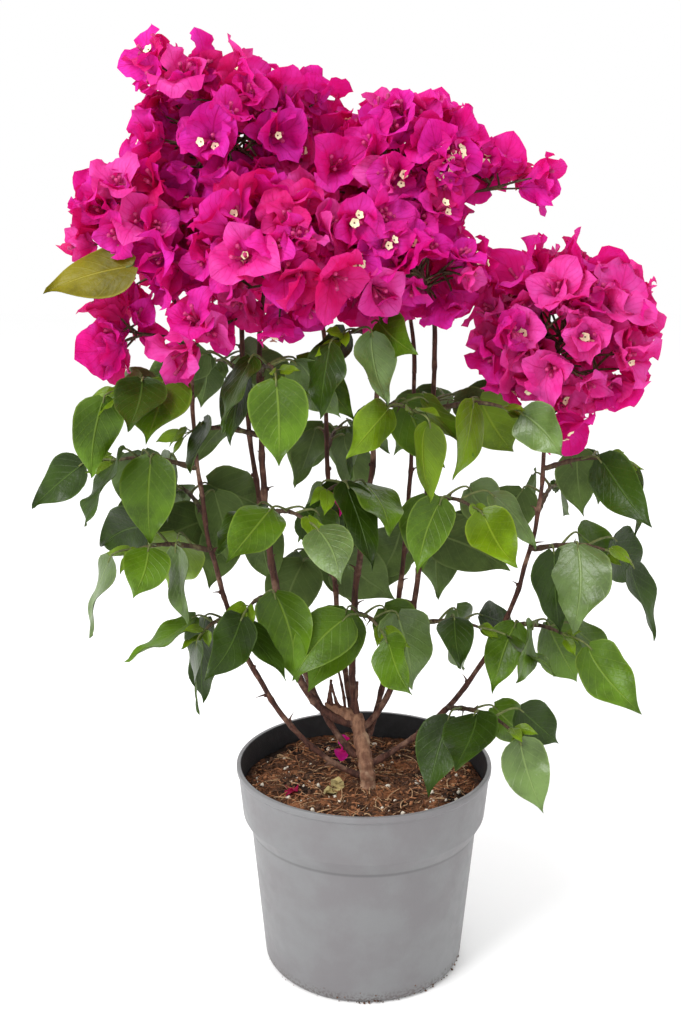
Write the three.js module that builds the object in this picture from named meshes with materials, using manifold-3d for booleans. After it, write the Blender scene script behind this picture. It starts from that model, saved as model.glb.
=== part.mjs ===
// A flowering bougainvillea in its nursery pot, in millimetres, +Z up and -Y to the front.
// The origin is the centre of the pot's flat underside.
//
// The plant is an assembly: a short woody trunk out of the potting mix, eight boughs that fan out of it,
// heads of papery magenta bracts on the tips of the boughs, and sprays of hanging leaves along them.
// Every twig, leaf and bract comes from one growth rule and a seed. Each piece keeps SEAT mm from the
// piece that carries it, and a leaf, bract or twig that would come nearer to another is left out.

import * as THREE from "three";
import { mergeVertices } from "three/addons/utils/BufferGeometryUtils.js";
import Module from "manifold-3d";

const wasm = await Module();
wasm.setup();

// ---- Driving dimensions ----

const POT = {
  height: 140,
  rimRadius: 85,
  lipDrop: 4, // height of the bead round the rim
  lipDepth: 1.2, // how far the bead stands out
  collarFoot: { radius: 81, height: 106 },
  shoulder: { radius: 75.5, height: 96 }, // where the sloped underside of the collar meets the body
  baseRadius: 67,
  baseEdge: 3, // height of the rounded bottom edge
  wall: 1.8,
  floor: 2.2,
  drainHoles: { count: 8, radius: 4, ring: 50 },
  sides: 32,
};
const SOIL_LEVEL = 125;
const SEAT = 0.3; // gap that is kept between neighbouring pieces
const CLEARANCE = 0.5; // least room from a leaf, bract or twig to another piece
const TRIES = 6; // how often a leaf or a cluster is thrown before it is left out
const WELDS = [0.1, 0.08, 0.06, 0.04, 0.02, 0.001]; // how near corners of a mass become one, best first

const TRUNK = {
  foot: [2.6, -15.7, SOIL_LEVEL + SEAT],
  top: [-5, -3, 172],
  footRadius: 6.6, // at the root flare
  flareShare: 0.16, // share of the trunk's length over which the flare runs out
  radius: 4.6,
  topRadius: 3.8,
};

// Each bough leaves the trunk at a share of the trunk's length, heads out at a compass angle (0 is +X,
// 90 is the back) and a lift above the horizontal, holds that way for about its pull, and turns up to its
// tip. The centre bough goes on from the trunk's top.
const BOUGHS = {
  bough_far_left: { at: 0.22, heading: 180, lift: 22, pull: 64, spread: 103, tip: 398, radii: [2.1, 1.5] },
  bough_far_right: { at: 0.36, heading: 4, lift: 28, pull: 64, spread: 106, tip: 356, radii: [2.1, 1.5] },
  bough_centre: { at: 1, heading: 20, pull: 78, spread: 14, tip: 432, radii: [2.7, 1.7] },
  bough_inner_left: { at: 0.93, heading: 186, lift: 14, pull: 48, spread: 56, tip: 414, radii: [2.9, 1.9] },
  bough_inner_right: { at: 0.86, heading: 8, lift: 35, pull: 32, spread: 42, tip: 420, radii: [2.3, 1.6] },
  bough_back_left: { at: 0.5, heading: 150, lift: 34, pull: 52, spread: 86, tip: 468, radii: [2.4, 1.6] },
  bough_back: { at: 0.62, heading: 112, lift: 45, pull: 37, spread: 62, tip: 408, radii: [2.2, 1.5] },
  bough_back_right: { at: 0.7, heading: 62, lift: 42, pull: 40, spread: 66, tip: 396, radii: [2.2, 1.5] },
};

// A head of blossom fills an ellipsoid with clusters of three bracts. Its sprigs reach out of it: each
// leaves the head's stem at a share of its length and ends at a point.
const HEADS = {
  blossom_front: {
    bough: "bough_inner_left", centre: [-55, -44, 468], radii: [52, 42, 46], clusters: 31,
    sprigs: [{ to: [-101, -46, 420], from: 0.3, clusters: 2 }],
  },
  blossom_left: {
    bough: "bough_far_left", centre: [-139, -8, 484], radii: [36, 40, 42], clusters: 23,
    sprigs: [{ to: [-148, -24, 420], from: 0.2, clusters: 2 }],
  },
  blossom_top_left: {
    bough: "bough_back_left", centre: [-86, 8, 543], radii: [55, 48, 46], clusters: 32,
    sprigs: [{ to: [-122, -2, 580], from: 0.9, clusters: 3 }],
  },
  blossom_top_right: {
    bough: "bough_centre", centre: [24, -4, 525], radii: [48, 46, 38], clusters: 28,
    sprigs: [{ to: [92, -8, 510], from: 0.6, clusters: 2 }],
  },
  blossom_inner_right: {
    bough: "bough_inner_right", centre: [32, -22, 462], radii: [40, 38, 30], clusters: 18, sprigs: [],
  },
  blossom_right: {
    bough: "bough_far_right", centre: [121, -2, 424], radii: [58, 48, 56], clusters: 34,
    sprigs: [{ to: [117, -16, 374], from: 0.1, clusters: 1 }],
  },
  blossom_back_left: {
    bough: "bough_back", centre: [-60, 70, 476], radii: [52, 38, 44], clusters: 20, sprigs: [],
  },
  blossom_back_right: {
    bough: "bough_back_right", centre: [20, 58, 466], radii: [48, 38, 44], clusters: 18, sprigs: [],
  },
};

// A leaf spray is a side shoot: it leaves a bough at a height, reaches out along its heading and hangs
// its leaves from alternate sides and its tip.
const SPRAYS = {
  leaves_far_left_top: { bough: "bough_far_left", height: 388, heading: 214, reach: 44, leaves: 6 },
  leaves_far_left_upper: { bough: "bough_far_left", height: 342, heading: 184, reach: 46, leaves: 5 },
  leaves_far_left_middle: { bough: "bough_far_left", height: 290, heading: 205, reach: 44, leaves: 5 },
  leaves_far_left_low: { bough: "bough_far_left", height: 244, heading: 250, reach: 34, leaves: 4 },
  leaves_far_left_back: { bough: "bough_far_left", height: 312, heading: 128, reach: 50, leaves: 5 },
  leaves_inner_left_top: { bough: "bough_inner_left", height: 402, heading: 285, reach: 40, leaves: 5 },
  leaves_inner_left_upper: { bough: "bough_inner_left", height: 362, heading: 232, reach: 42, leaves: 5 },
  leaves_inner_left_middle: { bough: "bough_inner_left", height: 312, heading: 300, reach: 48, leaves: 5 },
  leaves_inner_left_low: { bough: "bough_inner_left", height: 258, heading: 250, reach: 38, leaves: 4 },
  leaves_centre_top: { bough: "bough_centre", height: 420, heading: 245, reach: 48, leaves: 5 },
  leaves_centre_upper: { bough: "bough_centre", height: 376, heading: 292, reach: 50, leaves: 6 },
  leaves_centre_middle: { bough: "bough_centre", height: 326, heading: 236, reach: 44, leaves: 5 },
  leaves_centre_low: { bough: "bough_centre", height: 240, heading: 288, reach: 46, leaves: 5 },
  leaves_inner_right_upper: { bough: "bough_inner_right", height: 376, heading: 325, reach: 46, leaves: 5 },
  leaves_inner_right_middle: { bough: "bough_inner_right", height: 318, heading: 300, reach: 44, leaves: 5 },
  leaves_inner_right_low: { bough: "bough_inner_right", height: 236, heading: 318, reach: 44, leaves: 5 },
  leaves_far_right_top: { bough: "bough_far_right", height: 340, heading: 350, reach: 38, leaves: 5 },
  leaves_far_right_middle: { bough: "bough_far_right", height: 288, heading: 330, reach: 46, leaves: 5 },
  leaves_far_right_low: { bough: "bough_far_right", height: 238, heading: 312, reach: 44, leaves: 5 },
  leaves_far_right_foot: { bough: "bough_far_right", height: 182, heading: 302, reach: 60, leaves: 5 },
  leaves_far_right_back: { bough: "bough_far_right", height: 312, heading: 55, reach: 50, leaves: 5 },
  leaves_back_left_upper: { bough: "bough_back_left", height: 392, heading: 115, reach: 50, leaves: 6 },
  leaves_back_left_low: { bough: "bough_back_left", height: 286, heading: 135, reach: 48, leaves: 5 },
  leaves_back_upper: { bough: "bough_back", height: 342, heading: 80, reach: 48, leaves: 6 },
  leaves_back_low: { bough: "bough_back", height: 256, heading: 108, reach: 46, leaves: 5 },
  leaves_back_right_upper: { bough: "bough_back_right", height: 366, heading: 48, reach: 50, leaves: 6 },
  leaves_back_right_low: { bough: "bough_back_right", height: 272, heading: 66, reach: 46, leaves: 5 },
};

const LEAF = {
  length: [52, 72],
  widthShare: 0.6,
  thickness: 1.4,
  outline: [[0.12, 0.7], [0.42, 1], [0.76, 0.5]], // [share of the length, of the half width], base to tip
  fold: 0.1, // depth of the keel, as a share of the width
  arch: 0.16, // how far the tip curls down, as a share of the length
  droop: [18, 76], // degrees below the horizontal
  roll: 40, // degrees either way about the midrib
  petiole: [13, 24],
  petioleRadius: 0.8,
};
const BRACT = {
  length: [30, 37],
  widthShare: 0.84,
  outline: [[0.55, 0.96], [0.92, 0.46]], // [share of the length, of the half width], base to tip
  flare: [38, 60], // degrees from the cluster's axis
  cup: 0.1, // how far the sides of a bract curl in, as a share of its width
  notch: 0.3, // where two neighbours part, as a share of their length
  boss: 2.6, // thickness of the middle that the three share
  neck: 0.4, // radius of the twig there
  smallest: 0.62, // size of a cluster that only fits at the last throw
};
const HEAD_CORE = 0.42; // the dense middle of a head, as a share of its radii
const SHOOT_RADII = [2, 1.5]; // of three-sided limbs, to their corners
const TWIG_RADII = [0.9, 0.9];
const CROWN = { halfWidth: 190, ridge: 6 }; // leaves in front of the ridge face the front, others the back

const FINISHES = {
  potPlastic: [0x8f8e93, 0.55],
  pottingMix: [0x4a3020, 0.95],
  oldWood: [0x8a6a52, 0.85],
  youngBark: [0x4c3228, 0.75],
  leafGreen: [0x3f7026, 0.5],
  bractMagenta: [0xd4118a, 0.6],
};

// ---- Helpers ----

const UP = new THREE.Vector3(0, 0, 1);
const GOLDEN_TURN = Math.PI * (3 - Math.sqrt(5));
const { degToRad: radians, lerp, clamp } = THREE.MathUtils;
const vec = (xyz) => new THREE.Vector3(...xyz);
const between = ([low, high], share) => lerp(low, high, share);
const compass = (degrees) => new THREE.Vector3(Math.cos(radians(degrees)), Math.sin(radians(degrees)), 0);
const lifted = (level, degrees) =>
  level.clone().multiplyScalar(Math.cos(radians(degrees))).addScaledVector(UP, Math.sin(radians(degrees)));

// Repeatable random numbers from 0 to 1: mulberry32.
function dice(seed) {
  let state = seed >>> 0;
  return () => {
    state = (state + 0x6d2b79f5) >>> 0;
    let mixed = Math.imul(state ^ (state >>> 15), state | 1);
    mixed ^= mixed + Math.imul(mixed ^ (mixed >>> 7), mixed | 61);
    return ((mixed ^ (mixed >>> 14)) >>> 0) / 4294967296;
  };
}

// A seed that depends only on a name.
const seedOf = (name) => [...name].reduce((sum, letter) => (sum * 31 + letter.charCodeAt(0)) >>> 0, 7);

// The corners of a geometry's triangles, where vertices nearer to each other than a distance are one.
function weld(geometry, near) {
  const bare = geometry.clone();
  bare.deleteAttribute("normal");
  bare.deleteAttribute("uv");
  const merged = mergeVertices(bare, near);
  const corners = Array.from(merged.index.array);
  const isFlat = (i) => new Set(corners.slice(i - (i % 3), i - (i % 3) + 3)).size < 3;
  const triVerts = new Uint32Array(corners.filter((_, i) => !isFlat(i)));
  return { triVerts, vertProperties: merged.attributes.position.array };
}

// True if each edge has exactly one triangle on either side.
function isClosed({ triVerts }) {
  const edges = new Set();
  triVerts.forEach((corner, i) => edges.add(`${corner} ${triVerts[i % 3 === 2 ? i - 2 : i + 1]}`));
  const turnedRound = (edge) => edge.split(" ").reverse().join(" ");
  return edges.size === triVerts.length && [...edges].every((edge) => edges.has(turnedRound(edge)));
}

const solidOfWelded = (welded) => new wasm.Manifold(new wasm.Mesh({ numProp: 3, ...welded }));
const solidOf = (geometry) => solidOfWelded(weld(geometry, 1e-4));

function geometryOf(solid) {
  const { numProp, vertProperties, triVerts } = solid.getMesh();
  const places = new THREE.InterleavedBuffer(vertProperties, numProp);
  const geometry = new THREE.BufferGeometry();
  geometry.setAttribute("position", new THREE.InterleavedBufferAttribute(places, 3, 0));
  geometry.setIndex(new THREE.BufferAttribute(triVerts, 1));
  return geometry.toNonIndexed();
}

// Moves every vertex of a geometry to a place worked out from its old one.
function reshape(geometry, place) {
  const position = geometry.attributes.position;
  for (let i = 0; i < position.count; i++) {
    const moved = place(new THREE.Vector3().fromBufferAttribute(position, i));
    position.setXYZ(i, moved.x, moved.y, moved.z);
  }
  return geometry;
}

// A closed skin over rings of points, each anticlockwise about the way on to the next, up to an end point.
function loft(rings, end) {
  const points = rings[0].length;
  const last = rings.length - 1;
  const start = rings[0].reduce((sum, point) => sum.add(point), new THREE.Vector3()).divideScalar(points);
  return reshape(new THREE.CylinderGeometry(1, 1, 1, points, last), (v) => {
    const ring = Math.round((v.y + 0.5) * last);
    if (Math.hypot(v.x, v.z) < 0.5) return ring === 0 ? start : end;
    const turn = Math.round((Math.atan2(v.x, v.z) / (2 * Math.PI)) * points);
    return rings[ring][(turn + points) % points];
  });
}

// Points round a centre in the directions of some spokes.
const ringOf = (centre, spokes, radius) =>
  spokes.map((spoke) => centre.clone().addScaledVector(spoke, radius));

// A limb along a curve.
function limb(curve, radiusAt, sides, segments) {
  const { normals, binormals } = curve.computeFrenetFrames(segments);
  const rings = normals.map((normal, i) => {
    const spokes = Array.from({ length: sides }, (_, k) => {
      const turn = (2 * Math.PI * k) / sides;
      return normal.clone().multiplyScalar(Math.cos(turn)).addScaledVector(binormals[i], Math.sin(turn));
    });
    return ringOf(curve.getPointAt(i / segments), spokes, radiusAt(i / segments));
  });
  return solidOf(loft(rings, curve.getPointAt(1)));
}

// The rings of a twig at shares of a curve. Its spokes are given at the curve's end, where it heads on in
// a direction, and turn with the curve.
function twigRings(curve, shares, spokes, heading, radii) {
  return shares.map((share) => {
    const turn = new THREE.Quaternion().setFromUnitVectors(heading, curve.getTangentAt(share));
    const turned = spokes.map((spoke) => spoke.clone().applyQuaternion(turn));
    return ringOf(curve.getPointAt(share), turned, between(radii, share));
  });
}

// ---- Pot and potting mix ----

function potProfile() {
  const { rimRadius, height, lipDrop, lipDepth, collarFoot, shoulder } = POT;
  const { baseRadius, baseEdge, wall, floor } = POT;
  const outside = [
    [0, 0],
    [baseRadius - baseEdge, 0],
    [baseRadius, baseEdge],
    [shoulder.radius, shoulder.height],
    [collarFoot.radius, collarFoot.height],
    [rimRadius - lipDepth, height - lipDrop],
    [rimRadius, height - lipDrop + 1],
    [rimRadius, height - 1],
    [rimRadius - 1, height],
  ];
  const inside = [
    [rimRadius - lipDepth - wall, height],
    [collarFoot.radius - wall, collarFoot.height + 1],
    [shoulder.radius - wall, shoulder.height + 1],
    [baseRadius - wall, floor],
    [0, floor],
  ];
  return { outside, inside };
}

function turned(points) {
  const profile = points.map(([radius, height]) => new THREE.Vector2(radius, height));
  return new THREE.LatheGeometry(profile, POT.sides).rotateX(Math.PI / 2);
}

function growPot() {
  const { outside, inside } = potProfile();
  const { count, radius, ring } = POT.drainHoles;
  const drills = Array.from({ length: count }, (_, i) => {
    const angle = ((i + 0.5) / count) * 2 * Math.PI;
    const drill = new THREE.CylinderGeometry(radius, radius, 4 * POT.floor, 8).rotateX(Math.PI / 2);
    return solidOf(drill.translate(ring * Math.cos(angle), ring * Math.sin(angle), 0));
  });
  return solidOf(turned([...outside, ...inside])).subtract(wasm.Manifold.union(drills));
}

function growPottingMix() {
  const [rim, collar, shoulder, base] = potProfile().inside;
  const share = (SOIL_LEVEL - collar[1]) / (rim[1] - collar[1]);
  return solidOf(
    turned([
      [0, base[1] + SEAT],
      [base[0] - SEAT, base[1] + SEAT],
      [shoulder[0] - SEAT, shoulder[1] + SEAT],
      [collar[0] - SEAT, collar[1] + SEAT],
      [lerp(collar[0], rim[0], share) - SEAT, SOIL_LEVEL],
      [0, SOIL_LEVEL],
    ]),
  );
}

// ---- Trunk and boughs ----

const finished = []; // every piece so far, as { name, solid, finish }
const limbs = {}; // trunk and boughs by name, as { curve, radiusAt }

const keep = (name, solid, finish) => finished.push({ name, solid, finish });
const hasRoom = (solid, others) => others.every((other) => other.minGap(solid, CLEARANCE) >= CLEARANCE);
const solidsBut = (name) => finished.filter((piece) => piece.name !== name).map(({ solid }) => solid);

function growTrunk() {
  const foot = vec(TRUNK.foot);
  const top = vec(TRUNK.top);
  const rise = top.z - foot.z;
  const curve = new THREE.CubicBezierCurve3(
    foot,
    foot.clone().addScaledVector(UP, rise * 0.4),
    top.clone().lerp(foot, 0.35),
    top,
  );
  const radiusAt = (share) => {
    const flare = Math.max(0, 1 - share / TRUNK.flareShare) ** 2;
    return lerp(TRUNK.radius, TRUNK.topRadius, share) + flare * (TRUNK.footRadius - TRUNK.radius);
  };
  limbs.trunk = { curve, radiusAt };
  keep("trunk", limb(curve, radiusAt, 8, 12), "oldWood");
}

// Where a side limb of a radius leaves its carrier in a direction, SEAT clear of a round carrier and
// inset from there.
function leavePoint(carrier, at, direction, radius, inset) {
  const { curve, radiusAt } = limbs[carrier];
  const centre = curve.getPointAt(at);
  const tangent = curve.getTangentAt(at);
  if (at === 1) return centre.addScaledVector(tangent, SEAT);
  const slant = direction.dot(tangent);
  const out = direction.clone().addScaledVector(tangent, -slant).normalize();
  return centre.addScaledVector(out, radiusAt(at) + SEAT + radius * Math.abs(slant) - inset);
}

// Grows a side limb twice: the second is inset by what the first stands off its faceted carrier past SEAT.
function seated(carrier, grow) {
  const { solid } = finished.find(({ name }) => name === carrier);
  return grow(solid.minGap(grow(0).solid, 5 * SEAT) - SEAT);
}

function growBough(name, { at, heading, lift, pull, spread, tip, radii }) {
  const out = compass(heading);
  const start = at === 1 ? limbs.trunk.curve.getTangentAt(1) : lifted(out, lift);
  const radiusAt = (share) => between(radii, share);
  const { curve, solid } = seated("trunk", (inset) => {
    const foot = leavePoint("trunk", at, start, radii[0], inset);
    const end = foot.clone().addScaledVector(out, spread).setZ(tip);
    const curve = new THREE.CubicBezierCurve3(
      foot,
      foot.clone().addScaledVector(start, pull),
      end.clone().addScaledVector(UP, (foot.z - tip) * 0.55),
      end,
    );
    return { curve, solid: limb(curve, radiusAt, 6, 9) };
  });
  limbs[name] = { curve, radiusAt };
  keep(name, solid, "youngBark");
}

// The share of a bough's length at which it reaches a height.
function shareAtHeight(curve, height) {
  let [low, high] = [0, 1];
  for (let i = 0; i < 24; i++) {
    const middle = (low + high) / 2;
    if (curve.getPointAt(middle).z < height) low = middle;
    else high = middle;
  }
  return low;
}

// ---- Masses: twigs with leaves or bracts, fused into one solid ----

const shoot = (curve, radii) => limb(curve, (share) => between(radii, share), 3, 3);

// Joins the parts and keeps the one body that holds together, with no loose scrap or sealed hollow. The
// slivers left where two skins cross near a corner are welded away, as far as it stays one body.
function fuse(parts) {
  const bodies = wasm.Manifold.union(parts).simplify(0.05).decompose();
  const geometry = geometryOf(bodies.sort((a, b) => b.volume() - a.volume())[0]);
  const closed = WELDS.map((near) => weld(geometry, near)).filter(isClosed).map(solidOfWelded);
  return closed.find((solid) => solid.decompose().length === 1);
}

// Throws a leaf or cluster up to TRIES times until it has room, and adds it to the mass. Its rings are
// those of its twig and then its blade, whose own rings come last.
function addWithRoom(mass, seed, throwRings, bladeRings) {
  for (let attempt = 0; attempt < TRIES; attempt++) {
    const { rings, end } = throwRings(dice(seed + 7919 * attempt), attempt);
    const whole = solidOf(loft(rings, end));
    const blade = solidOf(loft(rings.slice(-bladeRings), end));
    if (!hasRoom(whole, [...mass.others, ...mass.blades]) || !hasRoom(blade, mass.wholes)) continue;
    mass.blades.push(blade);
    mass.wholes.push(whole);
    return;
  }
}

// ---- Leaf sprays ----

// A leaf on its petiole: a keeled blade whose tip hangs.
function leafRings({ petiole, along, face, length, width }) {
  const side = new THREE.Vector3().crossVectors(face, along).normalize();
  const root = petiole.getPointAt(1);
  const half = LEAF.thickness / 2;
  const spokes = [side, face, side.clone().negate(), face.clone().negate()];
  const blade = LEAF.outline.map(([share, wide]) => {
    const centre = root
      .clone()
      .addScaledVector(along, share * length)
      .addScaledVector(face, -LEAF.arch * length * share ** 2);
    const edge = (wide * width) / 2;
    const keel = -2 * LEAF.fold * edge;
    return [
      centre.clone().addScaledVector(side, edge),
      centre.clone().addScaledVector(face, keel + half),
      centre.clone().addScaledVector(side, -edge),
      centre.clone().addScaledVector(face, keel - half),
    ];
  });
  const stalk = twigRings(petiole, [0], spokes, along, [LEAF.petioleRadius, LEAF.petioleRadius]);
  const end = root.clone().addScaledVector(along, length).addScaledVector(face, -LEAF.arch * length);
  return { rings: [...stalk, ringOf(root, spokes, LEAF.petioleRadius * 0.8), ...blade], end };
}

// Leaves face the front or the back, whichever is nearer, somewhat outwards and upwards.
function leafFace(root, along, roll) {
  const toSide = (0.8 * root.x) / CROWN.halfWidth;
  const face = new THREE.Vector3(toSide, root.y < CROWN.ridge ? -1 : 1, lerp(0.3, 1, roll()));
  face.addScaledVector(along, -face.dot(along)).normalize();
  return face.applyAxisAngle(along, radians(lerp(-LEAF.roll, LEAF.roll, roll())));
}

function throwLeaf(curve, index, count, roll) {
  const isLast = index === count - 1;
  const share = isLast ? 1 : 0.22 + (0.7 * index) / (count - 1);
  const place = curve.getPointAt(share);
  const tangent = curve.getTangentAt(share);
  const level = new THREE.Vector3().crossVectors(tangent, UP).normalize();
  const above = new THREE.Vector3().crossVectors(level, tangent);
  const turn = (index % 2) * Math.PI + lerp(-0.7, 0.7, roll());
  const radial = level.multiplyScalar(Math.cos(turn)).addScaledVector(above, Math.abs(Math.sin(turn)));
  const [forward, aside] = isLast ? [1, 0.15] : [0.55, 0.95];
  const start = tangent.multiplyScalar(forward).addScaledVector(radial, aside);
  start.addScaledVector(UP, 0.25).normalize();

  const along = lifted(start.clone().setZ(0).normalize(), -between(LEAF.droop, roll()));
  const stalk = between(LEAF.petiole, roll());
  const root = place.clone().addScaledVector(start, stalk * 0.75).addScaledVector(along, stalk * 0.3);
  const bend = place.clone().addScaledVector(start, stalk * 0.8);
  const petiole = new THREE.QuadraticBezierCurve3(place, bend, root);
  const face = leafFace(root, along, roll);
  const length = between(LEAF.length, roll()) * lerp(1, 0.86, share);
  const width = length * LEAF.widthShare * lerp(0.88, 1.1, roll());
  return leafRings({ petiole, along, face, length, width });
}

function sprayShoot({ bough, height, heading, reach }, turn) {
  const out = compass(heading + turn);
  const toBend = out.clone().multiplyScalar(reach * 0.6).addScaledVector(UP, reach * 0.22);
  const at = shareAtHeight(limbs[bough].curve, height);
  return seated(bough, (inset) => {
    const foot = leavePoint(bough, at, toBend.clone().normalize(), SHOOT_RADII[0], inset);
    const tip = foot.clone().addScaledVector(out, reach).addScaledVector(UP, reach * 0.12);
    const curve = new THREE.QuadraticBezierCurve3(foot, foot.clone().add(toBend), tip);
    return { curve, solid: shoot(curve, SHOOT_RADII) };
  });
}

function growSpray(name, spec) {
  const neighbours = solidsBut(spec.bough);
  const shoots = [0, 14, -14, 28, -28, 42, -42].map((turn) => sprayShoot(spec, turn));
  const roomy = shoots.find(({ solid }) => hasRoom(solid, neighbours));
  if (!roomy) throw new Error(`${name} has no room for its shoot`);
  const { curve, solid } = roomy;
  const mass = { others: solidsBut(name), blades: [], wholes: [] };
  for (let index = 0; index < spec.leaves; index++) {
    const throwRings = (roll) => throwLeaf(curve, index, spec.leaves, roll);
    addWithRoom(mass, seedOf(name) + index, throwRings, LEAF.outline.length);
  }
  keep(name, fuse([solid, ...mass.wholes]), "leafGreen");
}

// ---- Heads of blossom ----

// A cluster on its twig: three cupped bracts that spread from one middle, round the cluster's axis.
function clusterRings(curve, axis, roll, size = 1) {
  const middle = curve.getPointAt(1);
  const sideways = Math.abs(axis.z) > 0.8 ? new THREE.Vector3(1, 0, 0) : UP;
  const across = new THREE.Vector3().crossVectors(axis, sideways).normalize();
  const spin = roll() * 2 * Math.PI;
  const lobes = [0, 1, 2].map((i) => {
    const turn = spin + (i * 2 * Math.PI) / 3 + lerp(-0.2, 0.2, roll());
    const radial = across.clone().applyAxisAngle(axis, turn);
    const flare = radians(between(BRACT.flare, roll()));
    const along = axis.clone().multiplyScalar(Math.cos(flare)).addScaledVector(radial, Math.sin(flare));
    const inward = axis.clone().multiplyScalar(Math.sin(flare));
    inward.addScaledVector(radial, -Math.cos(flare));
    const side = new THREE.Vector3().crossVectors(along, inward);
    return { radial, along, inward, side, length: size * between(BRACT.length, roll()) };
  });
  const rim = lobes.flatMap(({ along, inward, side, length }, i) => {
    const next = lobes[(i + 1) % 3];
    const at = (share, half) =>
      middle
        .clone()
        .addScaledVector(along, share * length)
        .addScaledVector(side, (half * BRACT.widthShare * length) / 2)
        .addScaledVector(inward, Math.abs(half) * BRACT.cup * length);
    const parting = along.clone().multiplyScalar(length).addScaledVector(next.along, next.length);
    return [
      ...BRACT.outline.map(([share, half]) => at(share, half)),
      ...BRACT.outline.map(([share, half]) => at(share, -half)).reverse(),
      middle.clone().addScaledVector(parting, BRACT.notch / 2),
    ];
  });
  const spokes = lobes.flatMap(({ radial }) => Array(rim.length / 3).fill(radial));
  const boss = axis.clone().multiplyScalar(BRACT.boss / 2);
  const foot = ringOf(middle.clone().sub(boss), spokes, BRACT.neck);
  const stalk = twigRings(curve, [0, 0.6], spokes, axis, TWIG_RADII);
  return { rings: [...stalk, foot, rim], end: middle.clone().add(boss) };
}

// Evenly spread directions over a ball, but none at the underside.
function spreadDirection(index, count, roll, jitter) {
  const z = 1 - (1.72 * (index + 0.5)) / count + jitter * lerp(-0.3, 0.3, roll());
  const turn = index * GOLDEN_TURN + lerp(-jitter, jitter, roll());
  const level = Math.sqrt(Math.max(0, 1 - z * z));
  return new THREE.Vector3(level * Math.cos(turn), level * Math.sin(turn), z).normalize();
}

function headStem({ bough, centre }) {
  const { curve } = limbs[bough];
  const tangent = curve.getTangentAt(1);
  const foot = curve.getPointAt(1).addScaledVector(tangent, SEAT);
  const bend = foot.clone().addScaledVector(tangent, foot.distanceTo(vec(centre)) * 0.45);
  return new THREE.QuadraticBezierCurve3(foot, bend, vec(centre));
}

function headCore({ centre, radii }) {
  const ball = new THREE.SphereGeometry(1, 7, 4).scale(...radii.map((radius) => radius * HEAD_CORE));
  return solidOf(ball.translate(...centre));
}

function throwCluster(stem, { centre, radii, clusters }, index, roll, attempt) {
  const direction = spreadDirection(index, clusters, roll, 0.25 + 0.15 * attempt);
  const size = lerp(1, BRACT.smallest, attempt / (TRIES - 1));
  const room = BRACT.length[0] * 0.6 * size; // the bracts reach on from the end of the twig
  const reach = vec(radii).subScalar(room).multiplyScalar(lerp(1, 0.88, roll()));
  const end = vec(centre).add(direction.clone().multiply(reach));
  const start = stem.getPointAt(lerp(0.6, 1, clamp((direction.z + 1) / 2, 0, 1)));
  const axis = direction.divide(vec(radii)).normalize().addScaledVector(UP, 0.2).normalize();
  const bend = start.clone().lerp(end, 0.55).addScaledVector(UP, 3 * roll());
  return clusterRings(new THREE.QuadraticBezierCurve3(start, bend, end), axis, roll, size);
}

// A sprig's clusters: one at its end and the others round it, back from the end.
function throwSprigCluster(sprig, index, count, roll) {
  if (index === 0) return clusterRings(sprig, sprig.getTangentAt(1), roll);
  const share = 1 - (0.5 * index) / count;
  const node = sprig.getPointAt(share);
  const forward = sprig.getTangentAt(share);
  const aside = new THREE.Vector3().crossVectors(forward, UP).normalize();
  aside.applyAxisAngle(forward, index * GOLDEN_TURN + 2 * Math.PI * roll());
  const axis = forward.multiplyScalar(0.5).add(aside).normalize();
  const end = node.clone().addScaledVector(axis, lerp(12, 18, roll()));
  return clusterRings(new THREE.QuadraticBezierCurve3(node, node.clone().lerp(end, 0.5), end), axis, roll);
}

function growHead(name, spec) {
  const stem = headStem(spec);
  const core = headCore(spec);
  const mass = { others: solidsBut(name), blades: [], wholes: [] };
  spec.sprigs.forEach(({ to, from, clusters }, order) => {
    const start = stem.getPointAt(from);
    const bend = start.clone().lerp(vec(to), 0.5).addScaledVector(UP, 12);
    const sprig = new THREE.QuadraticBezierCurve3(start, bend, vec(to));
    for (let index = 0; index < clusters; index++) {
      const seed = seedOf(name) + 1000 * (order + 1) + index;
      const throwRings = (roll) => throwSprigCluster(sprig, index, clusters, roll);
      addWithRoom(mass, seed, throwRings, 2);
    }
  });
  for (let index = 0; index < spec.clusters; index++) {
    const throwRings = (roll, attempt) => throwCluster(stem, spec, index, roll, attempt);
    addWithRoom(mass, seedOf(name) + index, throwRings, 2);
  }
  keep(name, fuse([shoot(stem, SHOOT_RADII), core, ...mass.wholes]), "bractMagenta");
}

// ---- The whole plant ----

keep("pot", growPot(), "potPlastic");
keep("potting_mix", growPottingMix(), "pottingMix");
growTrunk();
for (const [name, spec] of Object.entries(BOUGHS)) growBough(name, spec);
for (const [name, spec] of Object.entries(HEADS)) growHead(name, spec);
for (const [name, spec] of Object.entries(SPRAYS)) growSpray(name, spec);

const plant = new THREE.Group();
for (const { name, solid, finish } of finished) {
  const [color, roughness] = FINISHES[finish];
  const material = new THREE.MeshStandardMaterial({ color, roughness, metalness: 0 });
  const mesh = new THREE.Mesh(geometryOf(solid), material);
  mesh.name = name;
  plant.add(mesh);
}

export default plant;
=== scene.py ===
"""A flowering bougainvillea in its nursery pot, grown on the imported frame.

Lengths are in millimetres here, +Z up and -Y to the front, and become metres where a mesh is made.
The boughs, twigs, leaves and bracts grow by the rule of the part's source: the same names, seeds and
throws. A throw stands if the solid of its node has it. Finer twigs, leaves, bracts and flowers follow.
"""

from bisect import bisect
from collections import namedtuple
from math import cos, exp, hypot, pi, radians, sin, sqrt

import bpy
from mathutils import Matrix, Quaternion, Vector, kdtree, noise


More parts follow.
